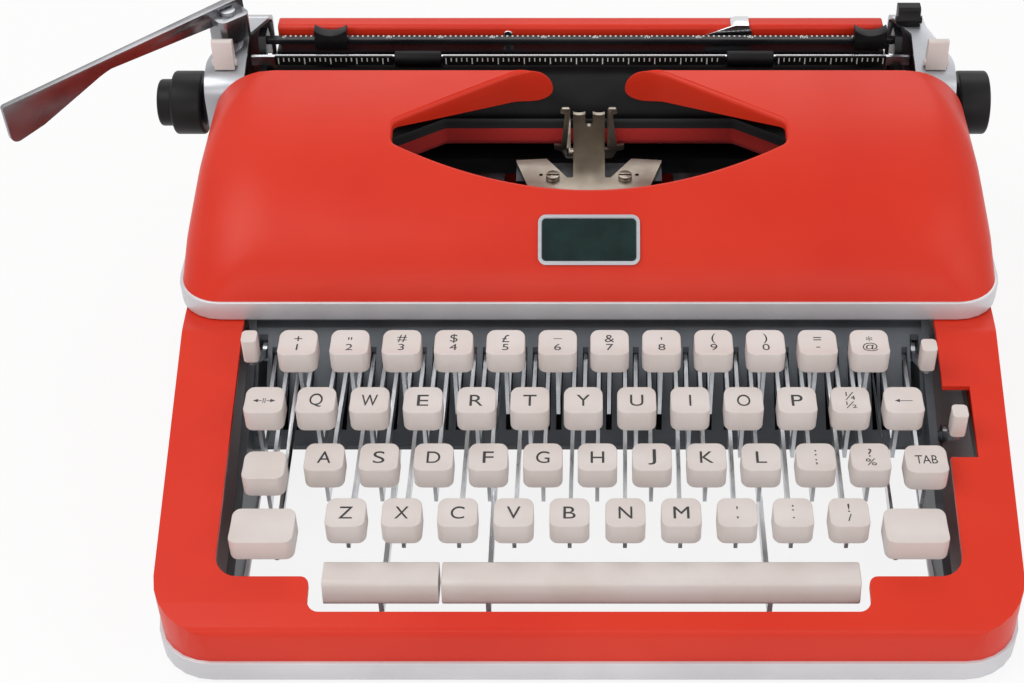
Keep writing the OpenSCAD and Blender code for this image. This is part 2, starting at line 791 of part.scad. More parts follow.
// Finger stop on the margin rail with a saddle top
module margin_stop(x) {
  color("#3d4044") on_carriage() translate([x, 0, 0]) difference() {
    box(-6.6, 6.6, stop_rail_y - 1.5, stop_rail_y + 3.6, stop_rail_z - 1.2, 114);
    box(-8, 8, stop_rail_y - 0.3, stop_rail_y + 5, stop_rail_z - 3, stop_rail_z + 2.9);
    translate([0, 0, 121]) rotate([90, 0, 0]) cylinder(h = 300, r = 9.4, center = true);
  }
}
module left_margin_stop() { margin_stop(-platen_half + 21.5); }
module right_margin_stop() { margin_stop(platen_half - 5); }

module paper_guide() {
  color("#b9babc") on_carriage() intersection() {
    along_x(51.5, 70.5) polygon([[124.9, 106.5], [125.7, 106.5], [125.7, 111.9], [132, 111.9],
      [132, 112.7], [124.9, 112.7]]);
    translate([0, 140, 0]) rotate([90, 0, 0]) linear_extrude(20)
      polygon([[51.5, 106], [51.5, 108], [64.5, 113], [69, 113], [70.5, 109], [70.5, 106]]);
  }
}

module platen_roller() {
  color("#242326") on_carriage() difference() {
    rod_x(-platen_half, platen_half, platen_y, platen_z, platen_r);
    rod_x(-platen_half - 1, platen_half + 1, platen_y, platen_z, shaft_r);
  }
}
module platen_shaft() {
  color("#a5a8ab") on_carriage()
    rod_x(-knob_x - knob_w / 2, knob_x + knob_w / 2, platen_y, platen_z, shaft_r);
}

// Knob at plus X with a collar and flutes
module knob_body() {
  difference() {
    union() {
      rod_x(knob_x - 3, knob_x + 0.6, platen_y, platen_z, 8.5);
      rod_x(knob_x, knob_x + knob_w, platen_y, platen_z, knob_r);
    }
    rod_x(knob_x - 4, knob_x + knob_w / 2, platen_y, platen_z, shaft_r);
  }
}
module left_knob() {
  color("#2b282a") on_carriage() mirror([1, 0, 0]) {
    knob_body();
    rod_x(knob_x + knob_w, knob_x + knob_w + 6.2, platen_y, platen_z, knob_r - 3.4);
  }
}
module right_knob() {
  color("#2b282a") on_carriage() knob_body();
}

// Upright blade with a flange along its top edge, on a square hub
module lever_blade() {
  along_y(-3, -1) polygon(rounded([
    [-8, 0, 0.5], [-8, -7.3, 2], [lever_reach - 42, -7.3, 30], [lever_reach - 14, -15, 14],
    [lever_reach, -17.5, 3], [lever_reach, 0, 1]
  ]));
  box(-8, lever_reach - 1, -4.8, -1, -1.2, 0);
}
module return_lever() {
  color("#b4b6b8") on_carriage() translate([lever_x, lever_y, 0]) difference() {
    rotate([0, 0, 180 + lever_angle]) {
      translate([0, 0, lever_z]) linear_extrude(lever_hub) round_rect(14, 12, 3);
      translate([0, 0, lever_z + lever_hub + 3.4])
        rotate([0, atan(lever_drop / lever_reach), 0]) lever_blade();
    }
    translate([0, 0, lever_z - 2]) cylinder(h = lever_hub + 4, r = 3 + fit);
  }
}

// Bar over the platen with a scale strip and two end arms
left_roller_x = -66;
right_roller_x = 69;
module bail_arm() {
  difference() {
    along_x(bail_arm_x, bail_arm_x + 1.6) union() {
      translate([bail_pivot_y, bail_pivot_z]) circle(3.6);
      translate([bail_y, bail_z]) circle(2.2);
      polygon([[bail_pivot_y + 2, bail_pivot_z + 3], [bail_y + 1.4, bail_z + 1.6],
        [bail_y - 1.4, bail_z - 1.6], [bail_pivot_y - 2.4, bail_pivot_z - 2.6]]);
    }
    rod_x(bail_arm_x - 5, bail_arm_x + 10, bail_pivot_y, bail_pivot_z, 2 + fit);
  }
}
module paper_bail() {
  color("#c3c4c6") on_carriage() {
    rod_x(-bail_half, bail_half, bail_y, bail_z, bail_r);
    difference() {
      box(-bail_half, bail_half, bail_y - bail_r - 0.6, bail_y - bail_r + 0.6, bail_z - 1.9, bail_z + 2.1);
      for (x = [left_roller_x, right_roller_x])
        box(x - bail_roller_w / 2 - 0.7, x + bail_roller_w / 2 + 0.7, 90, 120, 90, 120);
    }
    both_sides() bail_arm();
  }
}
module bail_roller(x) {
  color("#2b282a") on_carriage() difference() {
    rod_x(x - bail_roller_w / 2, x + bail_roller_w / 2, bail_y, bail_z, bail_roller_r);
    rod_x(x - bail_roller_w, x + bail_roller_w, bail_y, bail_z, bail_r + fit);
  }
}
module left_bail_roller() { bail_roller(left_roller_x); }
module right_bail_roller() { bail_roller(right_roller_x); }

// Finger tab on the end cover at minus X
module release_tab() {
  rod_x(-plate_x - 18.9, -plate_x - 9.1, tab_y, tab_z, 1.5);
  along_x(-plate_x - 18.1, -plate_x - 9.9) translate([tab_y, tab_z]) polygon(rounded([
    [-2.5, -2.1, 0], [2.5, -0.4, 0], [1.5, 10.2, 1.2], [-1.5, 11.2, 1.2]
  ]));
}
module left_carriage_release() { color("#ddd4c8") on_carriage() release_tab(); }
module right_carriage_release() {
  color("#ddd4c8") on_carriage() mirror([1, 0, 0]) release_tab();
}
module paper_release() {
  color("#2b282a") on_carriage() {
    rod_x(plate_x - 0.3, plate_x + 10.3, 121.6, 117.4, 1.5);
    along_x(plate_x + 0.5, plate_x + 9.5) polygon(rounded([
      [120, 115.4, 0], [126, 117.2, 0], [127, 123, 1.5], [121, 123, 1.5]
    ]));
  }
}

base_frame();
rubber_feet();
lower_case();
main_frame();
bottom_pan();
key_comb();
pivot_shaft();
segment();
type_bars();
type_guide();
guide_screws();
case_screws();
hinge_pins();
margin_bell();
ribbon();
ribbon_cover();
cover_trim();
badge_plate();
bottom_row_caps();
bottom_row_levers();
home_row_caps();
home_row_levers();
upper_row_caps();
upper_row_levers();
number_row_caps();
number_row_levers();
left_shift();
right_shift();
shift_lock();
margin_release();
backspace();
tabulator();
space_bar();
repeat_spacer();
touch_lever();
ribbon_color_lever();
ribbon_reverse_lever();
left_spool();
right_spool();
ribbon_carrier();
carriage_rail();
carriage_frame();
left_end_cover();
right_end_cover();
paper_table();
margin_rail();
platen_roller();
platen_shaft();
left_knob();
right_knob();
return_lever();
paper_bail();
left_bail_roller();
right_bail_roller();
left_margin_stop();
right_margin_stop();
paper_guide();
left_carriage_release();
right_carriage_release();
paper_release();
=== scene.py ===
# %% [markdown]
# # A manual typewriter in red enamel
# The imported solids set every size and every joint. This lesson dresses them: pressed sheet gets
# rolled edges, moulded keys get hollow tops and letters, and each surface gets the finish that the
# real material has. One frame is shared, so a piece is drawn where the solid already stands.

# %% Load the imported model
import math
import bmesh
import bpy
from mathutils import Matrix, Vector


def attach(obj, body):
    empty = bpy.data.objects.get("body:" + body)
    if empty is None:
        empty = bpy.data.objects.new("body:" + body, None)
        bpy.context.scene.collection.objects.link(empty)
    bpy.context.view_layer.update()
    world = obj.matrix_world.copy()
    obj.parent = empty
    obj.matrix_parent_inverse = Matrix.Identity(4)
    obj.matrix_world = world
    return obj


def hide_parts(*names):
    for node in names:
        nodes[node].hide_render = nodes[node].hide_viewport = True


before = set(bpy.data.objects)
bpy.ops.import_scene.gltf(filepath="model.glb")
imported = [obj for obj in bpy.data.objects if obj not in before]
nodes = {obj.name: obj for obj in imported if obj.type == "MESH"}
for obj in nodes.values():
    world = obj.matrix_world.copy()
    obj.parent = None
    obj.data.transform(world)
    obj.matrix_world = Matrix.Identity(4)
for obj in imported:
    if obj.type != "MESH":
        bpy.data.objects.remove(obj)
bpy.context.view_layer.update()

# %% [markdown]
# ## Camera
# The view is a product shot from the typist's side, about 42 degrees above the desk. A long lens
# keeps the rows of keys nearly parallel. The picture is cropped a little off centre, which a small
# lens shift repeats.

# %% Place the camera
photo_w, focal_px, shift_px = 1024, 1840, -77
sensor_mm = 36
camera_at, camera_tilt = (0, -0.5222, 0.521), 48
bpy.ops.object.camera_add(location=camera_at, rotation=(math.radians(camera_tilt), 0, 0))
camera = bpy.context.object
camera.name = "photo_camera"
camera.data.sensor_width = sensor_mm
camera.data.lens = focal_px / photo_w * sensor_mm
camera.data.shift_x = shift_px / photo_w
bpy.context.scene.camera = camera
print("lens", round(camera.data.lens, 2), "mm")

# %% [markdown]
# ## Small helpers
# Operators act on what is selected, so one helper picks a single object and another picks faces or
# edges by a test on their place. Lengths are written in millimetres and turned to metres once.

# %% Selection helpers
MM = 0.001


def pick(piece):
    if bpy.context.object and bpy.context.object.mode == "EDIT":
        bpy.ops.object.mode_set(mode="OBJECT")
    bpy.ops.object.select_all(action="DESELECT")
    piece.select_set(True)
    bpy.context.view_layer.objects.active = piece


def edit(piece, kind="EDGE"):
    pick(piece)
    bpy.ops.object.mode_set(mode="EDIT")
    bpy.ops.mesh.select_mode(type=kind)
    bpy.ops.mesh.select_all(action="DESELECT")
    return bmesh.from_edit_mesh(piece.data)


def select(mesh, piece, items, test):
    count = 0
    for item in items:
        if test(item):
            item.select_set(True)
            count += 1
    mesh.select_flush_mode()
    bmesh.update_edit_mesh(piece.data)
    return count


def leave(piece, smooth=35):
    bpy.ops.object.mode_set(mode="OBJECT")
    pick(piece)
    bpy.ops.object.shade_smooth_by_angle(angle=math.radians(smooth))


def middle(item):
    points = [v.co for v in item.verts]
    return sum(points, Vector()) / len(points) / MM


print("millimetres in a metre", round(1 / MM))

# %% Shaping helpers
def is_sharp(edge, limit=35):
    return len(edge.link_faces) == 2 and edge.calc_face_angle(0) > math.radians(limit)


def round_edges(piece, width, steps, test, limit=35):
    mesh = edit(piece)
    count = select(mesh, piece, mesh.edges, lambda e: is_sharp(e, limit) and test(middle(e)))
    if count:
        bpy.ops.mesh.bevel(offset=width * MM, segments=steps, affect="EDGES", clamp_overlap=True)
    leave(piece)
    return count


def apply_all(piece):
    pick(piece)
    for modifier in list(piece.modifiers):
        bpy.ops.object.modifier_apply(modifier=modifier.name)


def cut(piece, cutter):
    pick(piece)
    change = piece.modifiers.new("cut", "BOOLEAN")
    change.operation = "DIFFERENCE"
    change.solver = "EXACT"
    change.object = cutter
    apply_all(piece)
    bpy.data.objects.remove(cutter)


def merge(name, parts):
    pick(parts[0])
    for part in parts:
        part.select_set(True)
    bpy.ops.object.join()
    piece = bpy.context.object
    piece.name = name
    bpy.ops.object.transform_apply(location=True, rotation=True, scale=True)
    return piece


def block(name, low, high):
    size = [(b - a) * MM for a, b in zip(low, high)]
    centre = [(a + b) / 2 * MM for a, b in zip(low, high)]
    bpy.ops.object.select_all(action="DESELECT")
    bpy.ops.mesh.primitive_cube_add(size=1, location=centre, scale=size)
    piece = bpy.context.object
    piece.name = name
    bpy.ops.object.transform_apply(location=True, rotation=True, scale=True)
    return piece


print("shaping helpers ready")

# %% [markdown]
# A solid comes as loose triangles. Its copy is welded first: points that meet become one, and faces
# that lie in one plane become one, so that a bevel finds clean edges. A finished piece then gets its
# finish and its body in one step.

# %% Copy a solid and fit a piece
SOLID_WELD, FLAT_DEGREES = 0.002, 0.6


def node_copy(node, name):
    piece = bpy.data.objects.new(name, nodes[node].data.copy())
    bpy.context.scene.collection.objects.link(piece)
    edit(piece)
    bpy.ops.mesh.select_all(action="SELECT")
    bpy.ops.mesh.remove_doubles(threshold=SOLID_WELD * MM)
    bpy.ops.mesh.dissolve_limited(angle_limit=math.radians(FLAT_DEGREES))
    bpy.ops.object.mode_set(mode="OBJECT")
    if piece.data.has_custom_normals:
        bpy.ops.mesh.customdata_custom_splitnormals_clear()
    return piece


def fit(piece, material, body, slot, *stands_for):
    piece.data.materials.clear()
    for one in material if isinstance(material, list) else [material]:
        piece.data.materials.append(one)
    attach(piece, body)
    if stands_for:
        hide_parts(*stands_for)
    return piece


print("solids to dress", len(nodes))

# %% [markdown]
# ## Floor and light
# The machine stands on a pale floor in a white studio. Camera, glossy and transmitted rays mostly
# see plain white there, while a part of the floor stays diffuse and keeps the soft shadow.

# %% Nodes and colours
def colour(code):
    channels = [int(code[i:i + 2], 16) / 255 for i in (1, 3, 5)]
    linear = [c / 12.92 if c <= 0.04045 else ((c + 0.055) / 1.055) ** 2.4 for c in channels]
    return (*linear, 1)


def add(tree, kind, values=None, links=None, **settings):
    node = tree.nodes.new(kind)
    for key, value in settings.items():
        setattr(node, key, value)
    for key, value in (values or {}).items():
        node.inputs[key].default_value = value
    for key, source in (links or {}).items():
        tree.links.new(source, node.inputs[key])
    return node


def blank(name):
    material = bpy.data.materials.new(name)
    material.use_nodes = True
    material.node_tree.nodes.clear()
    return material, material.node_tree


def seen_directly(tree):
    path = add(tree, "ShaderNodeLightPath")
    seen = path.outputs["Is Camera Ray"]
    for kind in ("Is Glossy Ray", "Is Transmission Ray"):
        larger = add(tree, "ShaderNodeMath", links={0: seen, 1: path.outputs[kind]},
                     operation="MAXIMUM")
        seen = larger.outputs[0]
    return seen


print("white", [round(c, 3) for c in colour("#ffffff")[:3]])

# %% Floor
floor_white, floor_size = 0.86, 12
floor_paper, tree = blank("studio_paper")
share = add(tree, "ShaderNodeMath", values={1: floor_white}, links={0: seen_directly(tree)},
            operation="MULTIPLY")
paper = add(tree, "ShaderNodeBsdfDiffuse", values={"Color": colour("#f7f7f6")})
white = add(tree, "ShaderNodeEmission", values={"Color": colour("#ffffff"), "Strength": 1.0})
both = add(tree, "ShaderNodeMixShader", links={0: share.outputs[0], 1: paper.outputs[0],
                                               2: white.outputs[0]})
add(tree, "ShaderNodeOutputMaterial", links={"Surface": both.outputs[0]})
bpy.ops.object.select_all(action="DESELECT")
bpy.ops.mesh.primitive_plane_add(size=floor_size)
floor = bpy.context.object
floor.name = "studio_floor"
floor.data.materials.append(floor_paper)
print("floor", floor.name)

# %% Lights
sky_light = 0.38
world = bpy.data.worlds.new("studio_world")
bpy.context.scene.world = world
world.use_nodes = True
tree = world.node_tree
tree.nodes.clear()
level = add(tree, "ShaderNodeMath", values={1: 1 - sky_light, 2: sky_light},
            links={0: seen_directly(tree)}, operation="MULTIPLY_ADD")
sky = add(tree, "ShaderNodeBackground", values={"Color": colour("#ffffff")},
          links={"Strength": level.outputs[0]})
add(tree, "ShaderNodeOutputWorld", links={"Surface": sky.outputs[0]})


def softbox(name, at, aim, size, power):
    direction = Vector(aim) - Vector(at)
    bpy.ops.object.light_add(type="AREA", location=at,
                             rotation=direction.to_track_quat("-Z", "Y").to_euler())
    lamp = bpy.context.object
    lamp.name = name
    lamp.data.shape = "RECTANGLE"
    lamp.data.size, lamp.data.size_y = size
    lamp.data.energy = power


softbox("key_softbox", (-0.75, -0.35, 1.25), (0, 0, 0.06), (1.0, 0.7), 8)
softbox("fill_softbox", (1.0, -0.5, 0.9), (0, 0, 0.06), (0.9, 0.9), 3.5)
softbox("front_softbox", (0, -1.35, 0.55), (0, 0, 0.09), (1.4, 0.5), 3.6)
softbox("back_softbox", (0.1, 1.0, 1.1), (0, 0.05, 0.08), (1.4, 0.5), 5)
bpy.context.scene.view_settings.view_transform = "Standard"

# %% [markdown]
# ## Finishes
# Each finish starts from its real material and from how that surface was made. Pattern scales come
# from a size in millimetres, because a noise texture counts features per metre here. The pattern
# rides on Object coordinates, so it stays on a piece when the piece moves.

# %% Start of a finish
def per(size_mm):
    return 1 / (size_mm * MM)


def surface(name, code, rough, metal=0.0, shine=0.5):
    material, tree = blank(name)
    place = add(tree, "ShaderNodeTexCoord").outputs["Object"]
    shader = add(tree, "ShaderNodeBsdfPrincipled", values={
        "Base Color": colour(code), "Roughness": rough, "Metallic": metal,
        "Specular IOR Level": shine})
    add(tree, "ShaderNodeOutputMaterial", links={"Surface": shader.outputs[0]})
    return material, tree, place, shader


def vary_colour(tree, place, shader, low, high, size_mm):
    cloud = add(tree, "ShaderNodeTexNoise", values={"Scale": per(size_mm), "Detail": 3},
                links={"Vector": place})
    ramp = add(tree, "ShaderNodeValToRGB", links={"Fac": cloud.outputs["Fac"]})
    for element, at, code in zip(ramp.color_ramp.elements, (0.32, 0.68), (low, high)):
        element.position = at
        element.color = colour(code)
    tree.links.new(ramp.outputs["Color"], shader.inputs["Base Color"])


def vary_gloss(tree, place, shader, low, high, size_mm):
    cloud = add(tree, "ShaderNodeTexNoise", values={"Scale": per(size_mm), "Detail": 4},
                links={"Vector": place})
    span = add(tree, "ShaderNodeMapRange", values={1: 0.3, 2: 0.7, 3: low, 4: high},
               links={0: cloud.outputs["Fac"]})
    tree.links.new(span.outputs[0], shader.inputs["Roughness"])


def add_grain(tree, place, shader, size_mm, depth_mm, strength, detail=2):
    grain = add(tree, "ShaderNodeTexNoise", values={"Scale": per(size_mm), "Detail": detail},
                links={"Vector": place})
    bump = add(tree, "ShaderNodeBump", values={"Strength": strength, "Distance": depth_mm * MM},
               links={"Height": grain.outputs["Fac"]})
    tree.links.new(bump.outputs["Normal"], shader.inputs["Normal"])


print("one noise feature of 2 mm has scale", per(2))

# %% Paints
# Stoving enamel on pressed steel: an even, half gloss red with a faint orange peel of 2 mm.
red_enamel, tree, place, shader = surface("red_stoving_enamel", "#da331e", 0.36, shine=0.24)
vary_colour(tree, place, shader, "#d62f1b", "#de3821", 70)
vary_gloss(tree, place, shader, 0.33, 0.41, 30)
add_grain(tree, place, shader, 2, 0.02, 0.25)

# Lacquered steel of the inner frame: dark grey, fine grain of 0.8 mm, hardly any gloss.
grey_lacquer, tree, place, shader = surface("grey_frame_lacquer", "#585d63", 0.5)
vary_colour(tree, place, shader, "#50555b", "#60666c", 18)
add_grain(tree, place, shader, 0.8, 0.03, 0.3)

# Black stoving paint of the bottom sheet, near black so that it also paints the shade seen
# through the comb's slots: almost no gloss, dusty clouds of 12 mm.
pan_paint_and_shade, tree, place, shader = surface("pan_paint_and_painted_shade", "#161718", 0.6, shine=0.2)
vary_colour(tree, place, shader, "#121314", "#1c1d1e", 12)

# Black gloss enamel of the carriage and its rail: dipped, so it is smooth with clouds of 25 mm.
black_gloss, tree, place, shader = surface("black_gloss_enamel", "#17171a", 0.3, shine=0.35)
vary_colour(tree, place, shader, "#131316", "#1d1d20", 25)
vary_gloss(tree, place, shader, 0.26, 0.38, 12)

# Fired badge enamel: deep green black, glassy, with a slow ripple of 6 mm.
badge_enamel, tree, place, shader = surface("fired_badge_enamel", "#0d2422", 0.14, shine=0.2)
vary_colour(tree, place, shader, "#0a1f1e", "#122c29", 9)
add_grain(tree, place, shader, 6, 0.05, 0.2, detail=1)

# Filling ink in the key tops, and white filling paint in the scales: dull and thin. The same
# black also paints the shade in the eyelet's hole.
ink_and_hole_shade, tree, place, shader = surface("filling_ink_and_hole_shade", "#1d1c1e", 0.55)
vary_colour(tree, place, shader, "#171618", "#262527", 1.2)
white_paint, tree, place, shader = surface("white_filling_paint", "#e6e6e2", 0.6)
vary_colour(tree, place, shader, "#dadad6", "#eeeeea", 2)
print("paints", red_enamel.name, grey_lacquer.name, badge_enamel.name)

# %% Metals
# Satin chromed castings and screws: bright grey with a fine brushing of 0.5 mm along X.
satin_chrome, tree, place, shader = surface("satin_chrome", "#a8a9ad", 0.34, metal=1.0)
drawn = add(tree, "ShaderNodeMapping", values={"Scale": (0.04, 1, 1)}, links={"Vector": place})
vary_gloss(tree, drawn.outputs[0], shader, 0.28, 0.42, 0.5)
vary_colour(tree, place, shader, "#a2a3a7", "#aeafb3", 40)

# Silver lacquer on the trim and the base: metal flakes in clear paint, so most of it looks matt.
silver_lacquer, tree, place, shader = surface("silver_flake_lacquer", "#d2d1d4", 0.4, metal=0.3)
vary_colour(tree, place, shader, "#cccbce", "#d8d7da", 35)
add_grain(tree, place, shader, 0.5, 0.01, 0.3)

# Polished chrome of the bail and the paper guide: bright, with faint wiping marks of 8 mm.
bright_chrome, tree, place, shader = surface("polished_chrome", "#d6d7da", 0.16, metal=1.0)
vary_gloss(tree, place, shader, 0.12, 0.24, 8)
vary_colour(tree, place, shader, "#d0d1d4", "#dbdcdf", 25)

# Blasted grey steel of the return lever: darker than chrome, half gloss, clouds of 15 mm.
grey_steel, tree, place, shader = surface("blasted_grey_steel", "#828285", 0.26, metal=1.0)
vary_colour(tree, place, shader, "#79797c", "#8b8b8e", 15)
vary_gloss(tree, place, shader, 0.25, 0.29, 30)

# Zinc plated lever steel: pale blue grey, punched from strip, streaks of 0.6 mm along the lever.
zinc_steel, tree, place, shader = surface("zinc_plated_steel", "#cdd1d5", 0.3, metal=1.0)
drawn = add(tree, "ShaderNodeMapping", values={"Scale": (1, 0.05, 1)}, links={"Vector": place})
vary_gloss(tree, drawn.outputs[0], shader, 0.24, 0.45, 0.6)
vary_colour(tree, place, shader, "#bcc0c4", "#dcdfe2", 14)

# Nickel plated steel with a warm tint: half polished, with small stains of 9 mm.
warm_nickel, tree, place, shader = surface("nickel_plated_steel", "#948b80", 0.32, metal=1.0)
vary_colour(tree, place, shader, "#8d8479", "#9b9287", 9)
vary_gloss(tree, place, shader, 0.28, 0.4, 6)

# Oiled tool steel of segment and type bars: dark grey with oil stains of 7 mm.
oiled_steel, tree, place, shader = surface("oiled_tool_steel", "#3d3f42", 0.38, metal=1.0)
vary_colour(tree, place, shader, "#323437", "#484a4d", 7)
vary_gloss(tree, place, shader, 0.3, 0.5, 5)

# Spun bell brass: yellow metal with fine turning marks of 0.7 mm.
bell_brass, tree, place, shader = surface("spun_bell_brass", "#c2a259", 0.26, metal=1.0)
vary_colour(tree, place, shader, "#b7964d", "#cdae66", 12)
vary_gloss(tree, place, shader, 0.2, 0.34, 0.7)
print("metals", satin_chrome.name, zinc_steel.name, warm_nickel.name, oiled_steel.name)

# %% Plastics, rubber and cloth
# Moulded cream ABS: warm white, mould grain of 0.5 mm, and a slight yellowing in clouds of 20 mm.
cream_abs, tree, place, shader = surface("moulded_cream_abs", "#d8cdc8", 0.42)
vary_colour(tree, place, shader, "#d5c9c3", "#dcd2ce", 20)
vary_gloss(tree, place, shader, 0.38, 0.48, 6)
add_grain(tree, place, shader, 0.5, 0.01, 0.25)

# Moulded black phenolic of the knobs: near black, half gloss, with a grain of 0.6 mm.
black_phenolic, tree, place, shader = surface("moulded_black_phenolic", "#141213", 0.42, shine=0.18)
vary_colour(tree, place, shader, "#110f10", "#181617", 8)
add_grain(tree, place, shader, 0.6, 0.01, 0.3)

# Ground platen rubber: black with a grey bloom, grinding marks of 0.6 mm around the roller.
ground_rubber, tree, place, shader = surface("ground_platen_rubber", "#121112", 0.5, shine=0.15)
vary_colour(tree, place, shader, "#0e0d0e", "#161516", 10)
ringed = add(tree, "ShaderNodeMapping", values={"Scale": (1, 0.08, 0.08)},
             links={"Vector": place})
add_grain(tree, ringed.outputs[0], shader, 0.6, 0.02, 0.35)

# Woven ribbon cloth: black ink above and red below, threads of 0.1 mm drawn at 0.6 mm to show.
ribbon_split, thread, wave_rate, wear = 88, 0.6, 20, 0.15
ribbon_cloth, tree, place, shader = surface("inked_ribbon_cloth", "#1b1a1c", 0.75)
parts = add(tree, "ShaderNodeSeparateXYZ", links={"Vector": place})
above = add(tree, "ShaderNodeMath", values={1: ribbon_split * MM}, links={0: parts.outputs["Z"]},
            operation="GREATER_THAN")
inks = add(tree, "ShaderNodeMix", values={6: colour("#d23430"), 7: colour("#19181b")},
           links={0: above.outputs[0]}, data_type="RGBA")
stain = add(tree, "ShaderNodeTexNoise", values={"Scale": per(1.5), "Detail": 3},
            links={"Vector": place})
worn = add(tree, "ShaderNodeMix", values={0: wear},
           links={6: inks.outputs[2], 7: stain.outputs["Fac"]},
           data_type="RGBA", blend_type="MULTIPLY")
tree.links.new(worn.outputs[2], shader.inputs["Base Color"])
warp, weft = [add(tree, "ShaderNodeTexWave", values={"Scale": per(thread) / wave_rate},
                  links={"Vector": place}, bands_direction=way) for way in ("X", "Z")]
woven = add(tree, "ShaderNodeMath", links={0: warp.outputs["Fac"], 1: weft.outputs["Fac"]},
            operation="MULTIPLY")
raised = add(tree, "ShaderNodeBump", values={"Strength": 0.5, "Distance": 0.05 * MM},
             links={"Height": woven.outputs[0]})
tree.links.new(raised.outputs["Normal"], shader.inputs["Normal"])
print("mouldings", cream_abs.name, black_phenolic.name, ground_rubber.name, ribbon_cloth.name)

# %% [markdown]
# ## Lower case
# The real case is pressed from sheet steel, and every edge of the pressing is rolled over. The solid
# has the right lines with sharp edges, so a merged copy of it is bevelled: broad along the outer
# rail, tighter around the openings.

# %% Lower case
case_line = [(-122.5, 27.5), (-112.5, 31.5), (-6, 62), (88.5, 62)]
corner_x, corner_y, corner_r = 130.5, -102.5, 17.5
rim_x, rim_y, case_sheet = 147, -119, 2.1
rim_end, opening_end, rear_start, rear_low = 86, -3, 88, 50


def case_top(y):
    for (y0, z0), (y1, z1) in zip(case_line, case_line[1:]):
        if y <= y1:
            return z0 + (z1 - z0) * (y - y0) / (y1 - y0)
    return case_line[-1][1]


def on_case_top(p):
    return abs(p.z - case_top(p.y)) < 1.2


def on_case_rim(p, inside=0):
    side, front = abs(p.x) - corner_x, corner_y - p.y
    if side > 0 and front > 0:
        return math.hypot(side, front) > corner_r - inside
    return abs(p.x) > rim_x - inside or p.y < rim_y + inside


def outer_edge(p):
    return on_case_top(p) and on_case_rim(p) and p.y < rim_end


def under_edge(p):
    return abs(case_top(p.y) - case_sheet - p.z) < 0.8 and on_case_rim(p, 2) and p.y < rim_end


def opening_edge(p):
    return on_case_top(p) and not on_case_rim(p) and p.y < opening_end


case = node_copy("lower_case", "lower_case_shell")
under = round_edges(case, 5, 5, under_edge, 25)
rolled = round_edges(case, 6.5, 7, outer_edge, 25)
lipped = round_edges(case, 1.5, 4, opening_edge)
rest = round_edges(case, 1.2, 3, lambda p: p.y > rear_start and p.z > rear_low)
fit(case, red_enamel, "chassis", "red_enamel", "lower_case")
print("case edges", under, rolled, lipped, rest)

# %% [markdown]
# ## Ribbon cover
# The hood over the ribbon is one deep pressing: its front rises from the trim, rolls over and runs
# back almost flat, and its shoulders are round. A grid is laid on that form row by row: each row is a
# U seen from above, and the rows climb the hood's side line. The grid then gets its sheet thickness.

# %% Lines of the hood
hood_line = ((0, 70.8), (13, 106.5), (88.5, 115))
band_z, wall_z, shoulder_z = 65.8, 80.8, 93.8
band_half, wall_half, wall_lean = 155, 153.5, 7.5 / 34.2
shoulder_x, shoulder_mid, shoulder_r = 124.3, 88, 27
corner_first, corner_swell = 16, 60


def hood_point(t):
    (y0, z0), (y1, z1), (y2, z2) = hood_line
    a, b, c = (1 - t) ** 2, 2 * t * (1 - t), t * t
    return a * y0 + b * y1 + c * y2, a * z0 + b * z1 + c * z2


def hood_height(y):
    bend_y, rear_y = hood_line[1][0], hood_line[2][0]
    step = rear_y - 2 * bend_y
    t = (math.sqrt(bend_y ** 2 + step * max(y, 0)) - bend_y) / step
    return hood_point(t)[1]


def hood_half(z):
    if z < wall_z:
        return band_half - (band_half - wall_half) * max(z - band_z, 0) / (wall_z - band_z)
    if z < shoulder_z:
        return wall_half - wall_lean * (z - wall_z)
    return shoulder_x + math.sqrt(max(shoulder_r ** 2 - (z - shoulder_mid) ** 2, 0))


def hood_corner(t):
    return (corner_first + corner_swell * t * (1 - t)) * (1 - t ** 4)


def hood_row(t, front=30, arc=10, side=12):
    y, z = hood_point(t)
    half, radius = hood_half(z), hood_corner(t)
    row = [((half - radius) * i / front, y) for i in range(front + 1)]
    for i in range(1, arc + 1):
        angle = math.pi / 2 * i / arc
        row.append((half - radius + radius * math.sin(angle), y + radius - radius * math.cos(angle)))
    for i in range(1, side + 1):
        row.append((half, y + radius + (hood_line[2][0] - y - radius) * i / side))
    left = [(-x, y) for x, y in reversed(row[1:])]
    return [Vector((x, y, z)) for x, y in left + row]


print("hood rear half width", round(hood_half(115), 1))

# %% Sheet of the hood
SHEET_WELD = 0.01


def grid_sheet(name, rows, smooth):
    bpy.ops.object.select_all(action="DESELECT")
    bpy.ops.mesh.primitive_grid_add(x_subdivisions=len(rows[0]) - 1, y_subdivisions=len(rows) - 1)
    piece = bpy.context.object
    piece.name = name
    for vertex, point in zip(piece.data.vertices, [p for row in rows for p in row]):
        vertex.co = point * MM
    edit(piece)
    bpy.ops.mesh.select_all(action="SELECT")
    bpy.ops.mesh.remove_doubles(threshold=SHEET_WELD * MM)
    bpy.ops.mesh.normals_make_consistent(inside=False)
    leave(piece, smooth)
    return piece


def thicken(piece, thickness, side):
    sheet = piece.modifiers.new("sheet", "SOLIDIFY")
    sheet.thickness = thickness * MM
    sheet.offset = side
    apply_all(piece)


hood_steps, hood_sheet, hood_smooth = 28, 1.6, 40
hood_rows = [hood_row(k / hood_steps) for k in range(hood_steps + 1)]
hood = grid_sheet("ribbon_cover_hood", hood_rows, hood_smooth)
upward = sum(f.normal.z for f in hood.data.polygons)
thicken(hood, hood_sheet, -1 if upward > 0 else 1)
print("hood faces", len(hood.data.polygons), "normals up", upward > 0)

# %% [markdown]
# The boat shaped mouth is open to the rear between two horns. Its outline is drawn once with rounded
# corners. A prism on a slightly wider outline cuts the sheet, and a strip then rolls over the edge
# and turns down into the machine, as the press tool does.

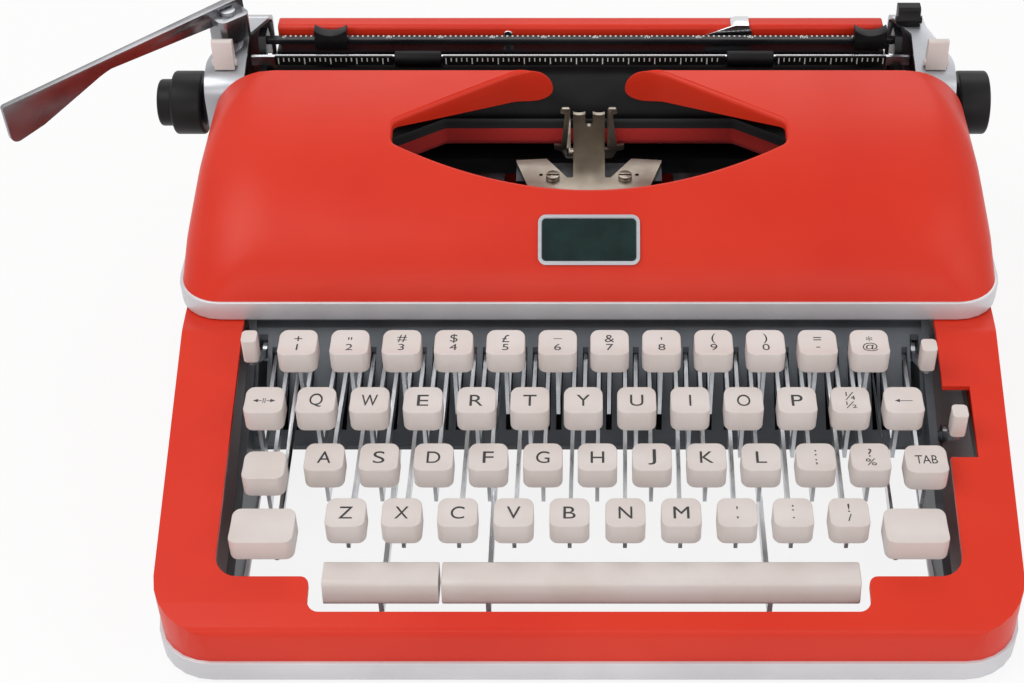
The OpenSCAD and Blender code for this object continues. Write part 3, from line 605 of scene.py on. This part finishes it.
# %% Outline of the mouth
def rounded_line(corners, steps=8):
    points = []
    for k, (x, y, radius) in enumerate(corners):
        here = Vector((x, y))
        if radius == 0 or k in (0, len(corners) - 1):
            points.append(here)
            continue
        back = (Vector(corners[k - 1][:2]) - here).normalized()
        ahead = (Vector(corners[k + 1][:2]) - here).normalized()
        half = math.acos(max(-1, min(1, back.dot(ahead)))) / 2
        reach = radius / math.tan(half)
        centre = here + (back + ahead).normalized() * (radius / math.sin(half))
        first, last = here + back * reach - centre, here + ahead * reach - centre
        turn = first.angle_signed(last)
        for i in range(steps + 1):
            points.append(centre + Matrix.Rotation(-turn * i / steps, 2) @ first)
    return points


mouth_front, mouth_half, tip_y, tip_round = 31, 75.5, 51, 3.5
horn_x, horn_end, horn_back, horn_round = 27.6, 14.3, 87.7, 14
horn_bend, tip_back, back_round = (63, 67.5, 0), 9.6, 4.5
tongue_gap, tongue_steps, arc_steps = 4, 8, 32
tip_depth = tip_y - mouth_front
mouth_r = (mouth_half ** 2 + tip_depth ** 2) / (2 * tip_depth)
tip_angle = math.asin(mouth_half / mouth_r)
arc_points = []
for i in range(arc_steps + 1):
    angle = tip_angle * (1 - 2 * i / arc_steps)
    arc_points.append((mouth_r * math.sin(angle),
                       mouth_front + mouth_r - mouth_r * math.cos(angle),
                       tip_round if i in (0, arc_steps) else 0))
tongue = [(horn_end + (horn_x - tongue_gap - horn_end) * (k / tongue_steps) ** 2, horn_back, 0)
          for k in range(tongue_steps + 1)]
horn = [(horn_x, horn_back, horn_round), horn_bend, (mouth_half, tip_y + tip_back, back_round)]
right_side = tongue + horn
left_side = [(-x, y, r) for x, y, r in reversed(right_side)]
mouth = rounded_line(right_side + arc_points + left_side)
print("mouth points", len(mouth), "tip", [round(c, 1) for c in arc_points[0][:2]])

# %% Cut the mouth
def path_normals(path):
    normals = []
    for k in range(len(path)):
        step = path[min(k + 1, len(path) - 1)] - path[max(k - 1, 0)]
        normals.append(Vector((-step.y, step.x)).normalized())
    return normals


def prism(name, outline, low, high):
    bpy.ops.object.select_all(action="DESELECT")
    bpy.ops.mesh.primitive_circle_add(vertices=len(outline), fill_type="NGON")
    piece = bpy.context.object
    piece.name = name
    for vertex, point in zip(piece.data.vertices, outline):
        vertex.co = Vector((point[0], point[1], low)) * MM
    edit(piece, "FACE")
    bpy.ops.mesh.select_all(action="SELECT")
    bpy.ops.mesh.extrude_region_move(
        TRANSFORM_OT_translate={"value": (0, 0, (high - low) * MM)})
    bpy.ops.mesh.select_all(action="SELECT")
    bpy.ops.mesh.normals_make_consistent(inside=False)
    bpy.ops.object.mode_set(mode="OBJECT")
    return piece


roll, cut_overlap, horn_margin, horn_zone, cut_rear = 1.7, 0.3, 3, 80, 96
cut_low, cut_high = 84, 130
normals = path_normals(mouth)
wider = [p + n * (roll - cut_overlap) for p, n in zip(mouth, normals)
         if abs(p.x) > horn_x - horn_margin or p.y < horn_zone]
wider = [Vector((wider[0].x, cut_rear))] + wider + [Vector((wider[-1].x, cut_rear))]
cut(hood, prism("mouth_cutter", wider, cut_low, cut_high))
leave(hood, hood_smooth)
print("hood after the cut", len(hood.data.polygons))

# %% Roll and turn down the edge
horn_low, horn_high, horn_slope = 99.5, 115, 0.126
tongue_r, tongue_reach, tongue_rise = 8, 13, 7.4
neck_x, neck_length, tongue_roll = 22, 6, 0.2
turn_start, turn_end, turn_down, lip_sheet = 53, 61, 0.8, 0.8


def share_between(value, low, high):
    return max(0, min(1, (value - low) / (high - low)))


def tongue_round(p):
    reach = max(0, horn_end + tongue_r - abs(p.x))
    return tongue_r - math.sqrt(max(tongue_r ** 2 - reach ** 2, 0))


def tongue_under(p):
    share = min(1, max(0, horn_end + tongue_reach - abs(p.x)) / tongue_reach)
    return tongue_rise * (1 - math.sqrt(1 - share ** 2))


def edge_top(p, q):
    top = hood_height(q.y)
    if p.y > horn_zone and abs(p.x) < horn_x:
        free = horn_high - tongue_round(p)
        return free + (top - free) * share_between(abs(p.x), neck_x, horn_x)
    return top


def edge_roll(p):
    if p.y > horn_zone:
        share = share_between(abs(p.x), neck_x, neck_x + neck_length)
        return tongue_roll + (roll - tongue_roll) * share
    return roll


def edge_bottom(p):
    front = hood_height(p.y) - roll - turn_down
    back = horn_low + (abs(p.x) - horn_end) * horn_slope + tongue_under(p)
    return front + (back - front) * share_between(p.y, turn_start, turn_end)


lip_rows = []
for angle in (0, 22.5, 45, 67.5, 90):
    a = math.radians(angle)
    row = []
    for p, n in zip(mouth, normals):
        r = edge_roll(p)
        q = p + n * r * (1 - math.sin(a))
        row.append(Vector((q.x, q.y, edge_top(p, q) - r * (1 - math.cos(a)))))
    lip_rows.append(row)
rolled_row = lip_rows[-1]
for share in (0.35, 0.7, 1):
    lip_rows.append([Vector((p.x, p.y, top.z + (edge_bottom(p) - top.z) * share))
                     for p, top in zip(mouth, rolled_row)])
lip = grid_sheet("mouth_lip", lip_rows, 60)
outward = sum(f.normal.y for f in lip.data.polygons
              if f.center.y > 70 * MM and abs(f.center.x) > 30 * MM)
thicken(lip, lip_sheet, -1 if outward < 0 else 1)
print("lip faces", len(lip.data.polygons), "normals back", outward > 0)

# %% Hinge ears under the hood
ear_low, ear_high = (115.3, 78, 105), (118.5, 86.2, 113)
ears = node_copy("ribbon_cover", "cover_ears")
mesh = edit(ears, "FACE")


def is_ear(face):
    p = middle(face)
    return all(a < c < b for a, c, b in zip(ear_low, (abs(p.x), p.y, p.z), ear_high))


select(mesh, ears, mesh.faces, lambda f: not is_ear(f))
bpy.ops.mesh.delete(type="FACE")
leave(ears)
print("ear faces", len(ears.data.polygons))
hood = merge("ribbon_cover_hood", [hood, lip, ears])
leave(hood, hood_smooth)
fit(hood, red_enamel, "cover", "red_enamel", "ribbon_cover")

# %% [markdown]
# ## Trim, castings and small metal parts
# Many solids already have the right form and only lack the small radius that a pressing, a casting
# or a moulding has on every edge. One list names them with that radius and their finish. Each gets
# a merged copy whose sharp edges are bevelled, so that the edges catch a thin line of light.

# %% Solids with rounded edges
def soften(node, name, body, slot, material, width, steps):
    piece = node_copy(node, name)
    count = round_edges(piece, width, steps, lambda p: True)
    fit(piece, material, body, slot, node)
    return count


softened = [
    ("cover_trim", "cover_trim_band", "cover", "silver_trim", silver_lacquer, 0.5, 3),
    ("base_frame", "base_frame_casting", "chassis", "silver_trim", silver_lacquer, 0.9, 2),
    ("left_end_cover", "left_end_cover_shell", "carriage", "silver_trim", satin_chrome, 1.4, 4),
    ("right_end_cover", "right_end_cover_shell", "carriage", "silver_trim", satin_chrome, 1.4, 4),
    ("paper_table", "paper_table_sheet", "carriage", "red_enamel", red_enamel, 0.6, 3),
    ("guide_screws", "guide_screw_heads", "chassis", "nickel_steel", warm_nickel, 0.3, 2),
    ("ribbon_carrier", "ribbon_carrier_fork", "ribbon_carrier", "nickel_steel", warm_nickel, 0.2, 2),
    ("left_margin_stop", "left_margin_slider", "left_margin_stop", "dark_steel", black_phenolic,
     0.5, 2),
    ("right_margin_stop", "right_margin_slider", "right_margin_stop", "dark_steel", black_phenolic,
     0.5, 2),
    ("paper_guide", "paper_guide_plate", "paper_guide", "lever_steel", bright_chrome, 0.15, 2),
    ("left_carriage_release", "left_release_tab", "left_carriage_release", "cream_plastic",
     cream_abs, 0.6, 3),
    ("right_carriage_release", "right_release_tab", "right_carriage_release", "cream_plastic",
     cream_abs, 0.6, 3),
    ("paper_release", "paper_release_tab", "paper_release", "black_plastic", black_phenolic, 0.7, 3),
    ("left_knob", "left_platen_knob", "platen", "black_plastic", black_phenolic, 1.2, 4),
    ("right_knob", "right_platen_knob", "platen", "black_plastic", black_phenolic, 1.2, 4),
    ("left_bail_roller", "left_bail_tyre", "left_bail_roller", "black_rubber", ground_rubber, 0.6, 3),
    ("right_bail_roller", "right_bail_tyre", "right_bail_roller", "black_rubber", ground_rubber,
     0.6, 3),
    ("platen_roller", "platen_cylinder", "platen", "black_rubber", ground_rubber, 0.6, 3),
    ("rubber_feet", "rubber_foot_pads", "chassis", "black_rubber", ground_rubber, 0.7, 2),
    ("left_spool", "left_ribbon_spool", "left_spool", "dark_steel", oiled_steel, 0.3, 2),
    ("right_spool", "right_ribbon_spool", "right_spool", "dark_steel", oiled_steel, 0.3, 2),
    ("margin_rail", "margin_rail_bar", "carriage", "dark_frame", black_gloss, 0.4, 3),
    ("margin_bell", "margin_bell_gong", "chassis", "bell_brass", bell_brass, 0.4, 2),
    # The bottom sheet's near black also stands in as painted shade seen through the comb's slots.
    ("bottom_pan", "bottom_pan_sheet", "chassis", "dark_frame", pan_paint_and_shade, 0.4, 2),
]
for node, name, body, slot, material, width, steps in softened:
    print(name, soften(node, name, body, slot, material, width, steps), "edges")

# %% Solids that keep their form
kept_finish = {
    grey_lacquer: ["main_frame", "key_comb"],
    black_gloss: ["carriage_frame"],
    zinc_steel: ["pivot_shaft", "hinge_pins", "bottom_row_levers", "home_row_levers",
                 "upper_row_levers", "number_row_levers", "carriage_rail",
                 "platen_shaft"],
    oiled_steel: ["segment", "type_bars"],
    warm_nickel: ["type_guide"],
}
for material, names in kept_finish.items():
    for name in names:
        for place_slot in nodes[name].material_slots:
            place_slot.material = material
    print(material.name, len(names), "nodes")

# %% [markdown]
# ## Return lever
# The lever is bent from one strip: slim along the arm, and wide at the paddle for the hand. The solid
# has a plain arm. Its copy is looked at in the lever's own axes, where the arm's lower edge is drawn
# up and the flange is drawn in, and the paddle stays as it is.

# %% Return lever
lever_at, lever_turn, lever_slope = Vector((-144.5, 112.5, 129.8)), 221.8, 2.3
lever_place = (Matrix.Translation(lever_at * MM) @ Matrix.Rotation(math.radians(lever_turn), 4, "Z")
               @ Matrix.Rotation(math.radians(lever_slope), 4, "Y"))
hub_edge, arm_end, paddle_start = 9, 40, 76
arm_slim, flange_depth = 0.5, 3.2


def arm_share(x):
    share = share_between(x, arm_end, paddle_start)
    return arm_slim + (1 - arm_slim) * share * share * (3 - 2 * share)


lever = node_copy("return_lever", "return_lever_blade")
moved = 0
for vertex in lever.data.vertices:
    x, y, z = lever_place.inverted() @ vertex.co / MM
    if x > hub_edge:
        vertex.co = lever_place @ (Vector((x, max(y, -flange_depth), z * arm_share(x))) * MM)
        moved += 1
print("lever points moved", moved, "edges", round_edges(lever, 0.4, 3, lambda p: True))
fit(lever, grey_steel, "return_lever", "lever_steel", "return_lever")

# %% [markdown]
# ## Screws and badge
# Each case screw is a domed head with a driver slot. The badge is a plate with a raised bright rim
# around a field of dark enamel: its front face is inset by the rim's width and pushed in a little.

# %% Case screws
screw_rows, screw_z, dome_x = (34, 108), 7.5, 155
slot_x, slot_reach, slot_half = (155.5, 154.7), 4, 0.45
screws = node_copy("case_screws", "case_screw_heads")
round_edges(screws, 0.7, 4, lambda p: abs(p.x) > dome_x)
for side in (-1, 1):
    near, far = sorted(side * x for x in slot_x)
    for y in screw_rows:
        cut(screws, block("driver_slot", (near, y - slot_reach, screw_z - slot_half),
                          (far, y + slot_reach, screw_z + slot_half)))
leave(screws)
fit(screws, satin_chrome, "chassis", "lever_steel", "case_screws")
print("screw faces", len(screws.data.polygons))

# %% Badge
badge_rim, rim_wall, field_depth = 1.2, 0.25, 0.3
badge = node_copy("badge_plate", "badge_plate_enamel")
mesh = edit(badge, "FACE")
select(mesh, badge, mesh.faces, lambda f: f.normal.z > 0.2 and f.normal.y < -0.2)
bpy.ops.mesh.inset(thickness=badge_rim * MM, depth=0)
bpy.ops.mesh.inset(thickness=rim_wall * MM, depth=-field_depth * MM)
mesh = bmesh.from_edit_mesh(badge.data)
field = [f.index for f in mesh.faces if f.select]
leave(badge)
fit(badge, [satin_chrome, badge_enamel], "cover", "badge_enamel", "badge_plate")
for index in field:
    badge.data.polygons[index].material_index = 1
print("badge field faces", len(field))

# %% [markdown]
# ## Keys
# A key is a moulded cap with round corners, a soft rim and a top that is hollowed from front to back
# for the finger. One cap is shaped from a cube: its upright edges are bevelled, cuts across it give
# the top enough points, the top is hollowed, and the rim is bevelled last. The rows are copies of it.

# %% One key cap
cap_round, cap_dish, cap_height = 3.2, 0.9, 9
rim_round, foot_round = 1.0, 0.4
type_width, type_depth = 14, 13.5


def dish_drop(y, depth):
    return cap_dish * max(0, 1 - (2 * y / depth) ** 2)


def key_cap(name, width, depth):
    cap = block(name, (-width / 2, -depth / 2, -cap_height), (width / 2, depth / 2, 0))
    mesh = edit(cap)
    select(mesh, cap, mesh.edges, lambda e: abs(middle(e).z + cap_height / 2) < 0.1)
    bpy.ops.mesh.bevel(offset=cap_round * MM, segments=6, affect="EDGES")
    flat = depth / 2 - cap_round
    levels = [flat * k / 2 for k in range(3)]
    levels += [flat + cap_round * math.sin(math.radians(15 * k)) for k in range(1, 5)]
    for y in [-y for y in levels[1:]] + levels:
        bpy.ops.mesh.select_all(action="SELECT")
        bpy.ops.mesh.bisect(plane_co=(0, y * MM, 0), plane_no=(0, 1, 0))
    mesh = bmesh.from_edit_mesh(cap.data)
    for vertex in mesh.verts:
        if vertex.co.z > -0.01 * MM:
            vertex.co.z -= dish_drop(vertex.co.y / MM, depth) * MM
    bmesh.update_edit_mesh(cap.data)
    bpy.ops.object.mode_set(mode="OBJECT")
    round_edges(cap, rim_round, 4, lambda p: p.z > -1.2, 50)
    round_edges(cap, foot_round, 2, lambda p: p.z < 0.1 - cap_height, 50)
    leave(cap, 60)
    return cap


def copy_at(source, name, at):
    pick(source)
    bpy.ops.object.duplicate()
    piece = bpy.context.object
    piece.name = name
    piece.location = Vector(at) * MM
    bpy.ops.object.transform_apply(location=True, rotation=False, scale=False)
    return piece


type_cap = key_cap("type_key_cap", type_width, type_depth)
print("cap faces", len(type_cap.data.polygons))

# %% [markdown]
# The letters are filled with black ink. Each is a text turned into a thin mesh, which is then laid
# into the hollow of its key: every point takes the height of the cap under it.

# %% One letter on a key
ink, ink_lift = 0.02, 0.03
capital_share, plain_stretch = 0.72, 1.16
single_height, single_width, single_y = 5.9, 4.8, 0.4
pair_height, upper_y, lower_y = 3.7, 2.6, -1.9
letter_widths = {"I": 0.7, "J": 2.8, "L": 3.8, "F": 3.8, "E": 4.1, "P": 4.1, "S": 4.1, "B": 4.3,
                 "W": 5.8, "M": 5.6}


def lay_on_key(sign, x, y, top, depth, shift):
    points = [v.co for v in sign.data.vertices]
    middle_x = (min(p.x for p in points) + max(p.x for p in points)) / 2
    middle_y = (min(p.y for p in points) + max(p.y for p in points)) / 2
    for p in points:
        p.x += x * MM - middle_x
        p.y += shift * MM - middle_y
        p.z += (top - dish_drop(p.y / MM, depth) + ink_lift) * MM
        p.y += y * MM
    return sign


def letter(text, height, width=None):
    bpy.ops.object.select_all(action="DESELECT")
    bpy.ops.object.text_add()
    sign = bpy.context.object
    sign.data.body = text
    sign.data.size = height * MM / capital_share
    sign.data.extrude = ink * MM
    bpy.ops.object.convert(target="MESH")
    sign = bpy.context.object
    stretch = width * MM / sign.dimensions.x if width else plain_stretch
    for v in sign.data.vertices:
        v.co.x *= stretch
    return sign


def key_letters(text, x, y, top, depth):
    if len(text) == 1:
        sign = letter(text, single_height, letter_widths.get(text, single_width))
        return [lay_on_key(sign, x, y, top, depth, single_y)]
    return [lay_on_key(letter(one, pair_height), x, y, top, depth, shift)
            for one, shift in zip(text, (upper_y, lower_y))]


probe = letter("H", single_height)
print("letter height", round(probe.dimensions.y / MM, 2), "mm")
bpy.data.objects.remove(probe)

# %% Four rows of keys
# Each row has its Y, the height of its tops, its first key's X, its pitch and its letters.
key_rows = {
    "bottom": (-84.5, 46.8, -85.1, 19.57, ["Z", "X", "C", "V", "B", "N", "M", "',", ":.", "!/"]),
    "home": (-65, 54.5, -93.9, 19.38, list("ASDFGHJKL") + [":;", "?%"]),
    "upper": (-46, 64.2, -98, 19.19, list("QWERTYUIOP") + ["¼½"]),
    "number": (-26, 74, -105.9, 18.9, ["+1", "\"2", "#3", "$4", "£5", "_6", "&7", "'8", "(9",
                                       ")0", "=-", "*@"]),
}
for row, (y, top, first, pitch, texts) in key_rows.items():
    caps, signs = [], []
    for k, text in enumerate(texts):
        x = first + pitch * k
        caps.append(copy_at(type_cap, "cap", (x, y, top)))
        signs += key_letters(text, x, y, top, type_depth)
    fit(merge(row + "_row_keys", caps), cream_abs, row + "_row", "cream_plastic", row + "_row_caps")
    fit(merge(row + "_row_letters", signs), ink_and_hole_shade, row + "_row", "black_plastic")
    print(row, "row:", len(texts), "keys")
bpy.data.objects.remove(type_cap)

# %% [markdown]
# ## Function keys and bars
# The keys at the sides are caps of their own sizes on the same kind of lever. The lever comes from
# the solid: the faces of its plain cap are deleted and the opening is closed. Margin release and
# backspace carry arrows, and the tabulator carries its short word.

# %% Arrows
def arrow(x0, x1, head=1.8, half=0.85, line=0.26):
    sense = 1 if x1 > x0 else -1
    tail = sorted((x0, x1 - sense * head))
    shaft = block("shaft", (tail[0], -line / 2, -ink), (tail[1], line / 2, ink))
    bpy.ops.object.select_all(action="DESELECT")
    bpy.ops.mesh.primitive_cylinder_add(vertices=3, radius=MM, depth=2 * ink * MM)
    tip = bpy.context.object
    corners = [(x1, 0), (x1 - sense * head, half), (x1 - sense * head, -half)]
    for k, v in enumerate(tip.data.vertices):
        v.co.x, v.co.y = corners[k // 2][0] * MM, corners[k // 2][1] * MM
    edit(tip, "FACE")
    bpy.ops.mesh.select_all(action="SELECT")
    bpy.ops.mesh.normals_make_consistent(inside=False)
    bpy.ops.object.mode_set(mode="OBJECT")
    return [shaft, tip]


def bars(*places, half=0.13, reach=1.2):
    return [block("bar", (x - half, -reach, -ink), (x + half, reach, ink)) for x in places]


print("arrow and bar helpers ready")

# %% Function keys
# Each key has its X, its Y, the height of its top, its width and its depth.
function_keys = {
    "left_shift": (-113.8, -89.5, 45.5, 22.4, 16),
    "right_shift": (114, -89.5, 45.5, 22, 16),
    "shift_lock": (-115, -68, 53.5, 15, 13.5),
    "margin_release": (-116.6, -46, 64.2, 14, 13.5),
    "backspace": (113, -46, 64.2, 14, 13.5),
    "tabulator": (119.6, -66, 54.5, 15, 13.5),
}


def bare_lever(node, name, low):
    lever = node_copy(node, name)
    mesh = edit(lever, "FACE")
    select(mesh, lever, mesh.faces, lambda f: middle(f).z > low - 0.02)
    bpy.ops.mesh.delete(type="FACE")
    bpy.ops.mesh.select_all(action="SELECT")
    bpy.ops.mesh.fill_holes(sides=0)
    leave(lever)
    return lever


for node, (x, y, top, width, depth) in function_keys.items():
    lever = bare_lever(node, node + "_lever", top - cap_height)
    fit(lever, zinc_steel, node, "lever_steel")
    shaped = key_cap("cap_source", width, depth)
    cap = copy_at(shaped, node + "_cap", (x, y, top))
    bpy.data.objects.remove(shaped)
    fit(cap, cream_abs, node, "cream_plastic", node)
    print(node, len(lever.data.polygons), "lever faces")

signs = {
    "margin_release": merge("arrows", arrow(-0.9, -4) + bars(-0.35, 0.35) + arrow(0.9, 4)),
    "backspace": merge("arrows", arrow(3.2, -3.2)),
    "tabulator": letter("TAB", 4.2, 7.9),
}
for node, sign in signs.items():
    x, y, top = function_keys[node][:3]
    sign.name = node + "_sign"
    fit(lay_on_key(sign, x, y, top, type_depth, single_y), ink_and_hole_shade, node, "black_plastic")

# %% Space bar, repeat spacer and side levers
def two_finishes(node, name, width, is_cap):
    piece = node_copy(node, name)
    round_edges(piece, width, 3, is_cap)
    fit(piece, [zinc_steel, cream_abs], node, "cream_plastic", node)
    for polygon in piece.data.polygons:
        polygon.material_index = 1 if is_cap(polygon.center / MM) else 0
    return piece


bar_rear, bar_under = -97.3, 25.9
for node in ("space_bar", "repeat_spacer"):
    bar = two_finishes(node, node + "_moulding", 0.6, lambda p: p.y < bar_rear and p.z > bar_under)
    print(node, len(bar.data.polygons))
for node, low in (("touch_lever", 65), ("ribbon_color_lever", 63), ("ribbon_reverse_lever", 53)):
    lever = two_finishes(node, node + "_tip", 0.8, lambda p: p.z > low - 0.02)
    print(node, len(lever.data.polygons))

# %% [markdown]
# ## Ribbon
# The inked ribbon is a woven strip, black above and red below, drawn flat across the type guide and
# back to both spools. A grid follows that path, and its corners are rounded where the strip turns.

# %% Ribbon
ribbon_low, ribbon_high, ribbon_sheet = 80.5, 92.5, 0.2
ribbon_step, ribbon_rows, ribbon_smooth = 4, 6, 35
ribbon_plan = rounded_line([(-90, 66, 0), (-58, 87.4, 5), (58, 87.4, 5), (90, 66, 0)], 6)
ribbon_path = []
for a, b in zip(ribbon_plan, ribbon_plan[1:]):
    count = max(1, round((b - a).length / ribbon_step))
    ribbon_path += [a + (b - a) * i / count for i in range(count)]
ribbon_path.append(ribbon_plan[-1])
heights = [ribbon_low + (ribbon_high - ribbon_low) * k / ribbon_rows for k in range(ribbon_rows + 1)]
rows = [[Vector((p.x, p.y, z)) for p in ribbon_path] for z in heights]
ribbon = grid_sheet("inked_ribbon", rows, ribbon_smooth)
thicken(ribbon, ribbon_sheet, 0)
fit(ribbon, ribbon_cloth, "chassis", "ribbon_cloth", "ribbon")

# %% [markdown]
# ## Paper bail and scales
# A black strip with white marks lies along the bail, one mark for each letter that fits a line:
# twelve to the inch. The strip ends short of the bail's bright tips, so the copy of the solid is cut
# there first. The marks are one small block and an array.

# %% Paper bail
strip_low, strip_high = -127.5, 120.5
strip_rear, strip_under = 110.35, 103
bail = node_copy("paper_bail", "paper_bail_bar")
for x in (strip_low, strip_high):
    edit(bail)
    bpy.ops.mesh.select_all(action="SELECT")
    bpy.ops.mesh.bisect(plane_co=(x * MM, 0, 0), plane_no=(1, 0, 0))
leave(bail)
fit(bail, [bright_chrome, black_phenolic], "paper_bail", "lever_steel", "paper_bail")
for polygon in bail.data.polygons:
    p = polygon.center / MM
    in_strip = p.y < strip_rear and p.z > strip_under and strip_low < p.x < strip_high
    polygon.material_index = 1 if in_strip else 0
print("bail faces", len(bail.data.polygons))

# %% Marks
letter_pitch = 25.4 / 12


def marks(name, x0, x1, step, low, high, half=0.22):
    mark = block(name, (x0 - half, low[0], low[1]), (x0 + half, high[0], high[1]))
    line = mark.modifiers.new("line", "ARRAY")
    line.use_relative_offset = False
    line.use_constant_offset = True
    line.constant_offset_displace = (step * MM, 0, 0)
    line.count = int((x1 - x0) / step) + 1
    apply_all(mark)
    return mark


stretches = [(-126, -80.5), (-58, 54), (77, 119.5)]
bail_face, mark_top = 109.15, 107.2
lines = []
for letters, front, foot in ((1, 108.96, 105.6), (5, 108.94, 104.4)):
    lines += [marks("mark", a, b, letter_pitch * letters, (front, foot), (bail_face, mark_top))
              for a, b in stretches]
fit(merge("bail_scale", lines), white_paint, "paper_bail", "silver_trim")
rail_first, rail_last, rail_count = -124.5, 119, 12
dot_low, dot_high, dot_half = (122.1, 108.9), (122.9, 109.15), 0.36
number_height, number_left, number_y, number_z = 1.6, 1.2, 121, 109.13
rail_signs = [marks("mark", rail_first, rail_last, letter_pitch, dot_low, dot_high, dot_half)]
for k in range(rail_count):
    number = letter(str(10 * k), number_height)
    number_x = rail_first + letter_pitch * 10 * k - number_left
    number.location = Vector((number_x, number_y, number_z)) * MM
    rail_signs.append(number)
fit(merge("margin_scale", rail_signs), white_paint, "carriage", "silver_trim")

# %% [markdown]
# ## Eyelet
# A small bright eyelet sits in the front of the paper table, left of the middle. It starts as a short
# cylinder whose front is inset to leave a rim and then pushed in, and the rim is bevelled. The floor
# of the hollow and the back face are painted black as the shade of the hole.

# %% Eyelet on the paper table
eyelet_x, eyelet_z, table_front = -33.3, 107.6, 126
eyelet_r, eyelet_length, eyelet_rim, eyelet_wall, eyelet_depth = 2, 0.9, 0.55, 0.15, 0.5
bpy.ops.object.select_all(action="DESELECT")
bpy.ops.mesh.primitive_cylinder_add(
    vertices=32, radius=eyelet_r * MM, depth=eyelet_length * MM, rotation=(math.pi / 2, 0, 0),
    location=(eyelet_x * MM, (table_front - 0.1) * MM, eyelet_z * MM))
eyelet = bpy.context.object
eyelet.name = "paper_table_eyelet"
bpy.ops.object.transform_apply(location=True, rotation=True, scale=True)
mesh = edit(eyelet, "FACE")
select(mesh, eyelet, mesh.faces, lambda f: f.normal.y < -0.9)
bpy.ops.mesh.inset(thickness=eyelet_rim * MM, depth=0)
bpy.ops.mesh.inset(thickness=eyelet_wall * MM, depth=-eyelet_depth * MM)
leave(eyelet)
round_edges(eyelet, 0.25, 3, lambda p: p.y < table_front - 0.5)
fit(eyelet, [bright_chrome, ink_and_hole_shade], "carriage", "lever_steel")
# Painted shade: the faces near the axis at the back of the hollow get the black of the hole.
for polygon in eyelet.data.polygons:
    p = polygon.center / MM
    if math.hypot(p.x - eyelet_x, p.z - eyelet_z) < 1.2 and p.y > table_front - 0.2:
        polygon.material_index = 1
print("eyelet faces", len(eyelet.data.polygons))
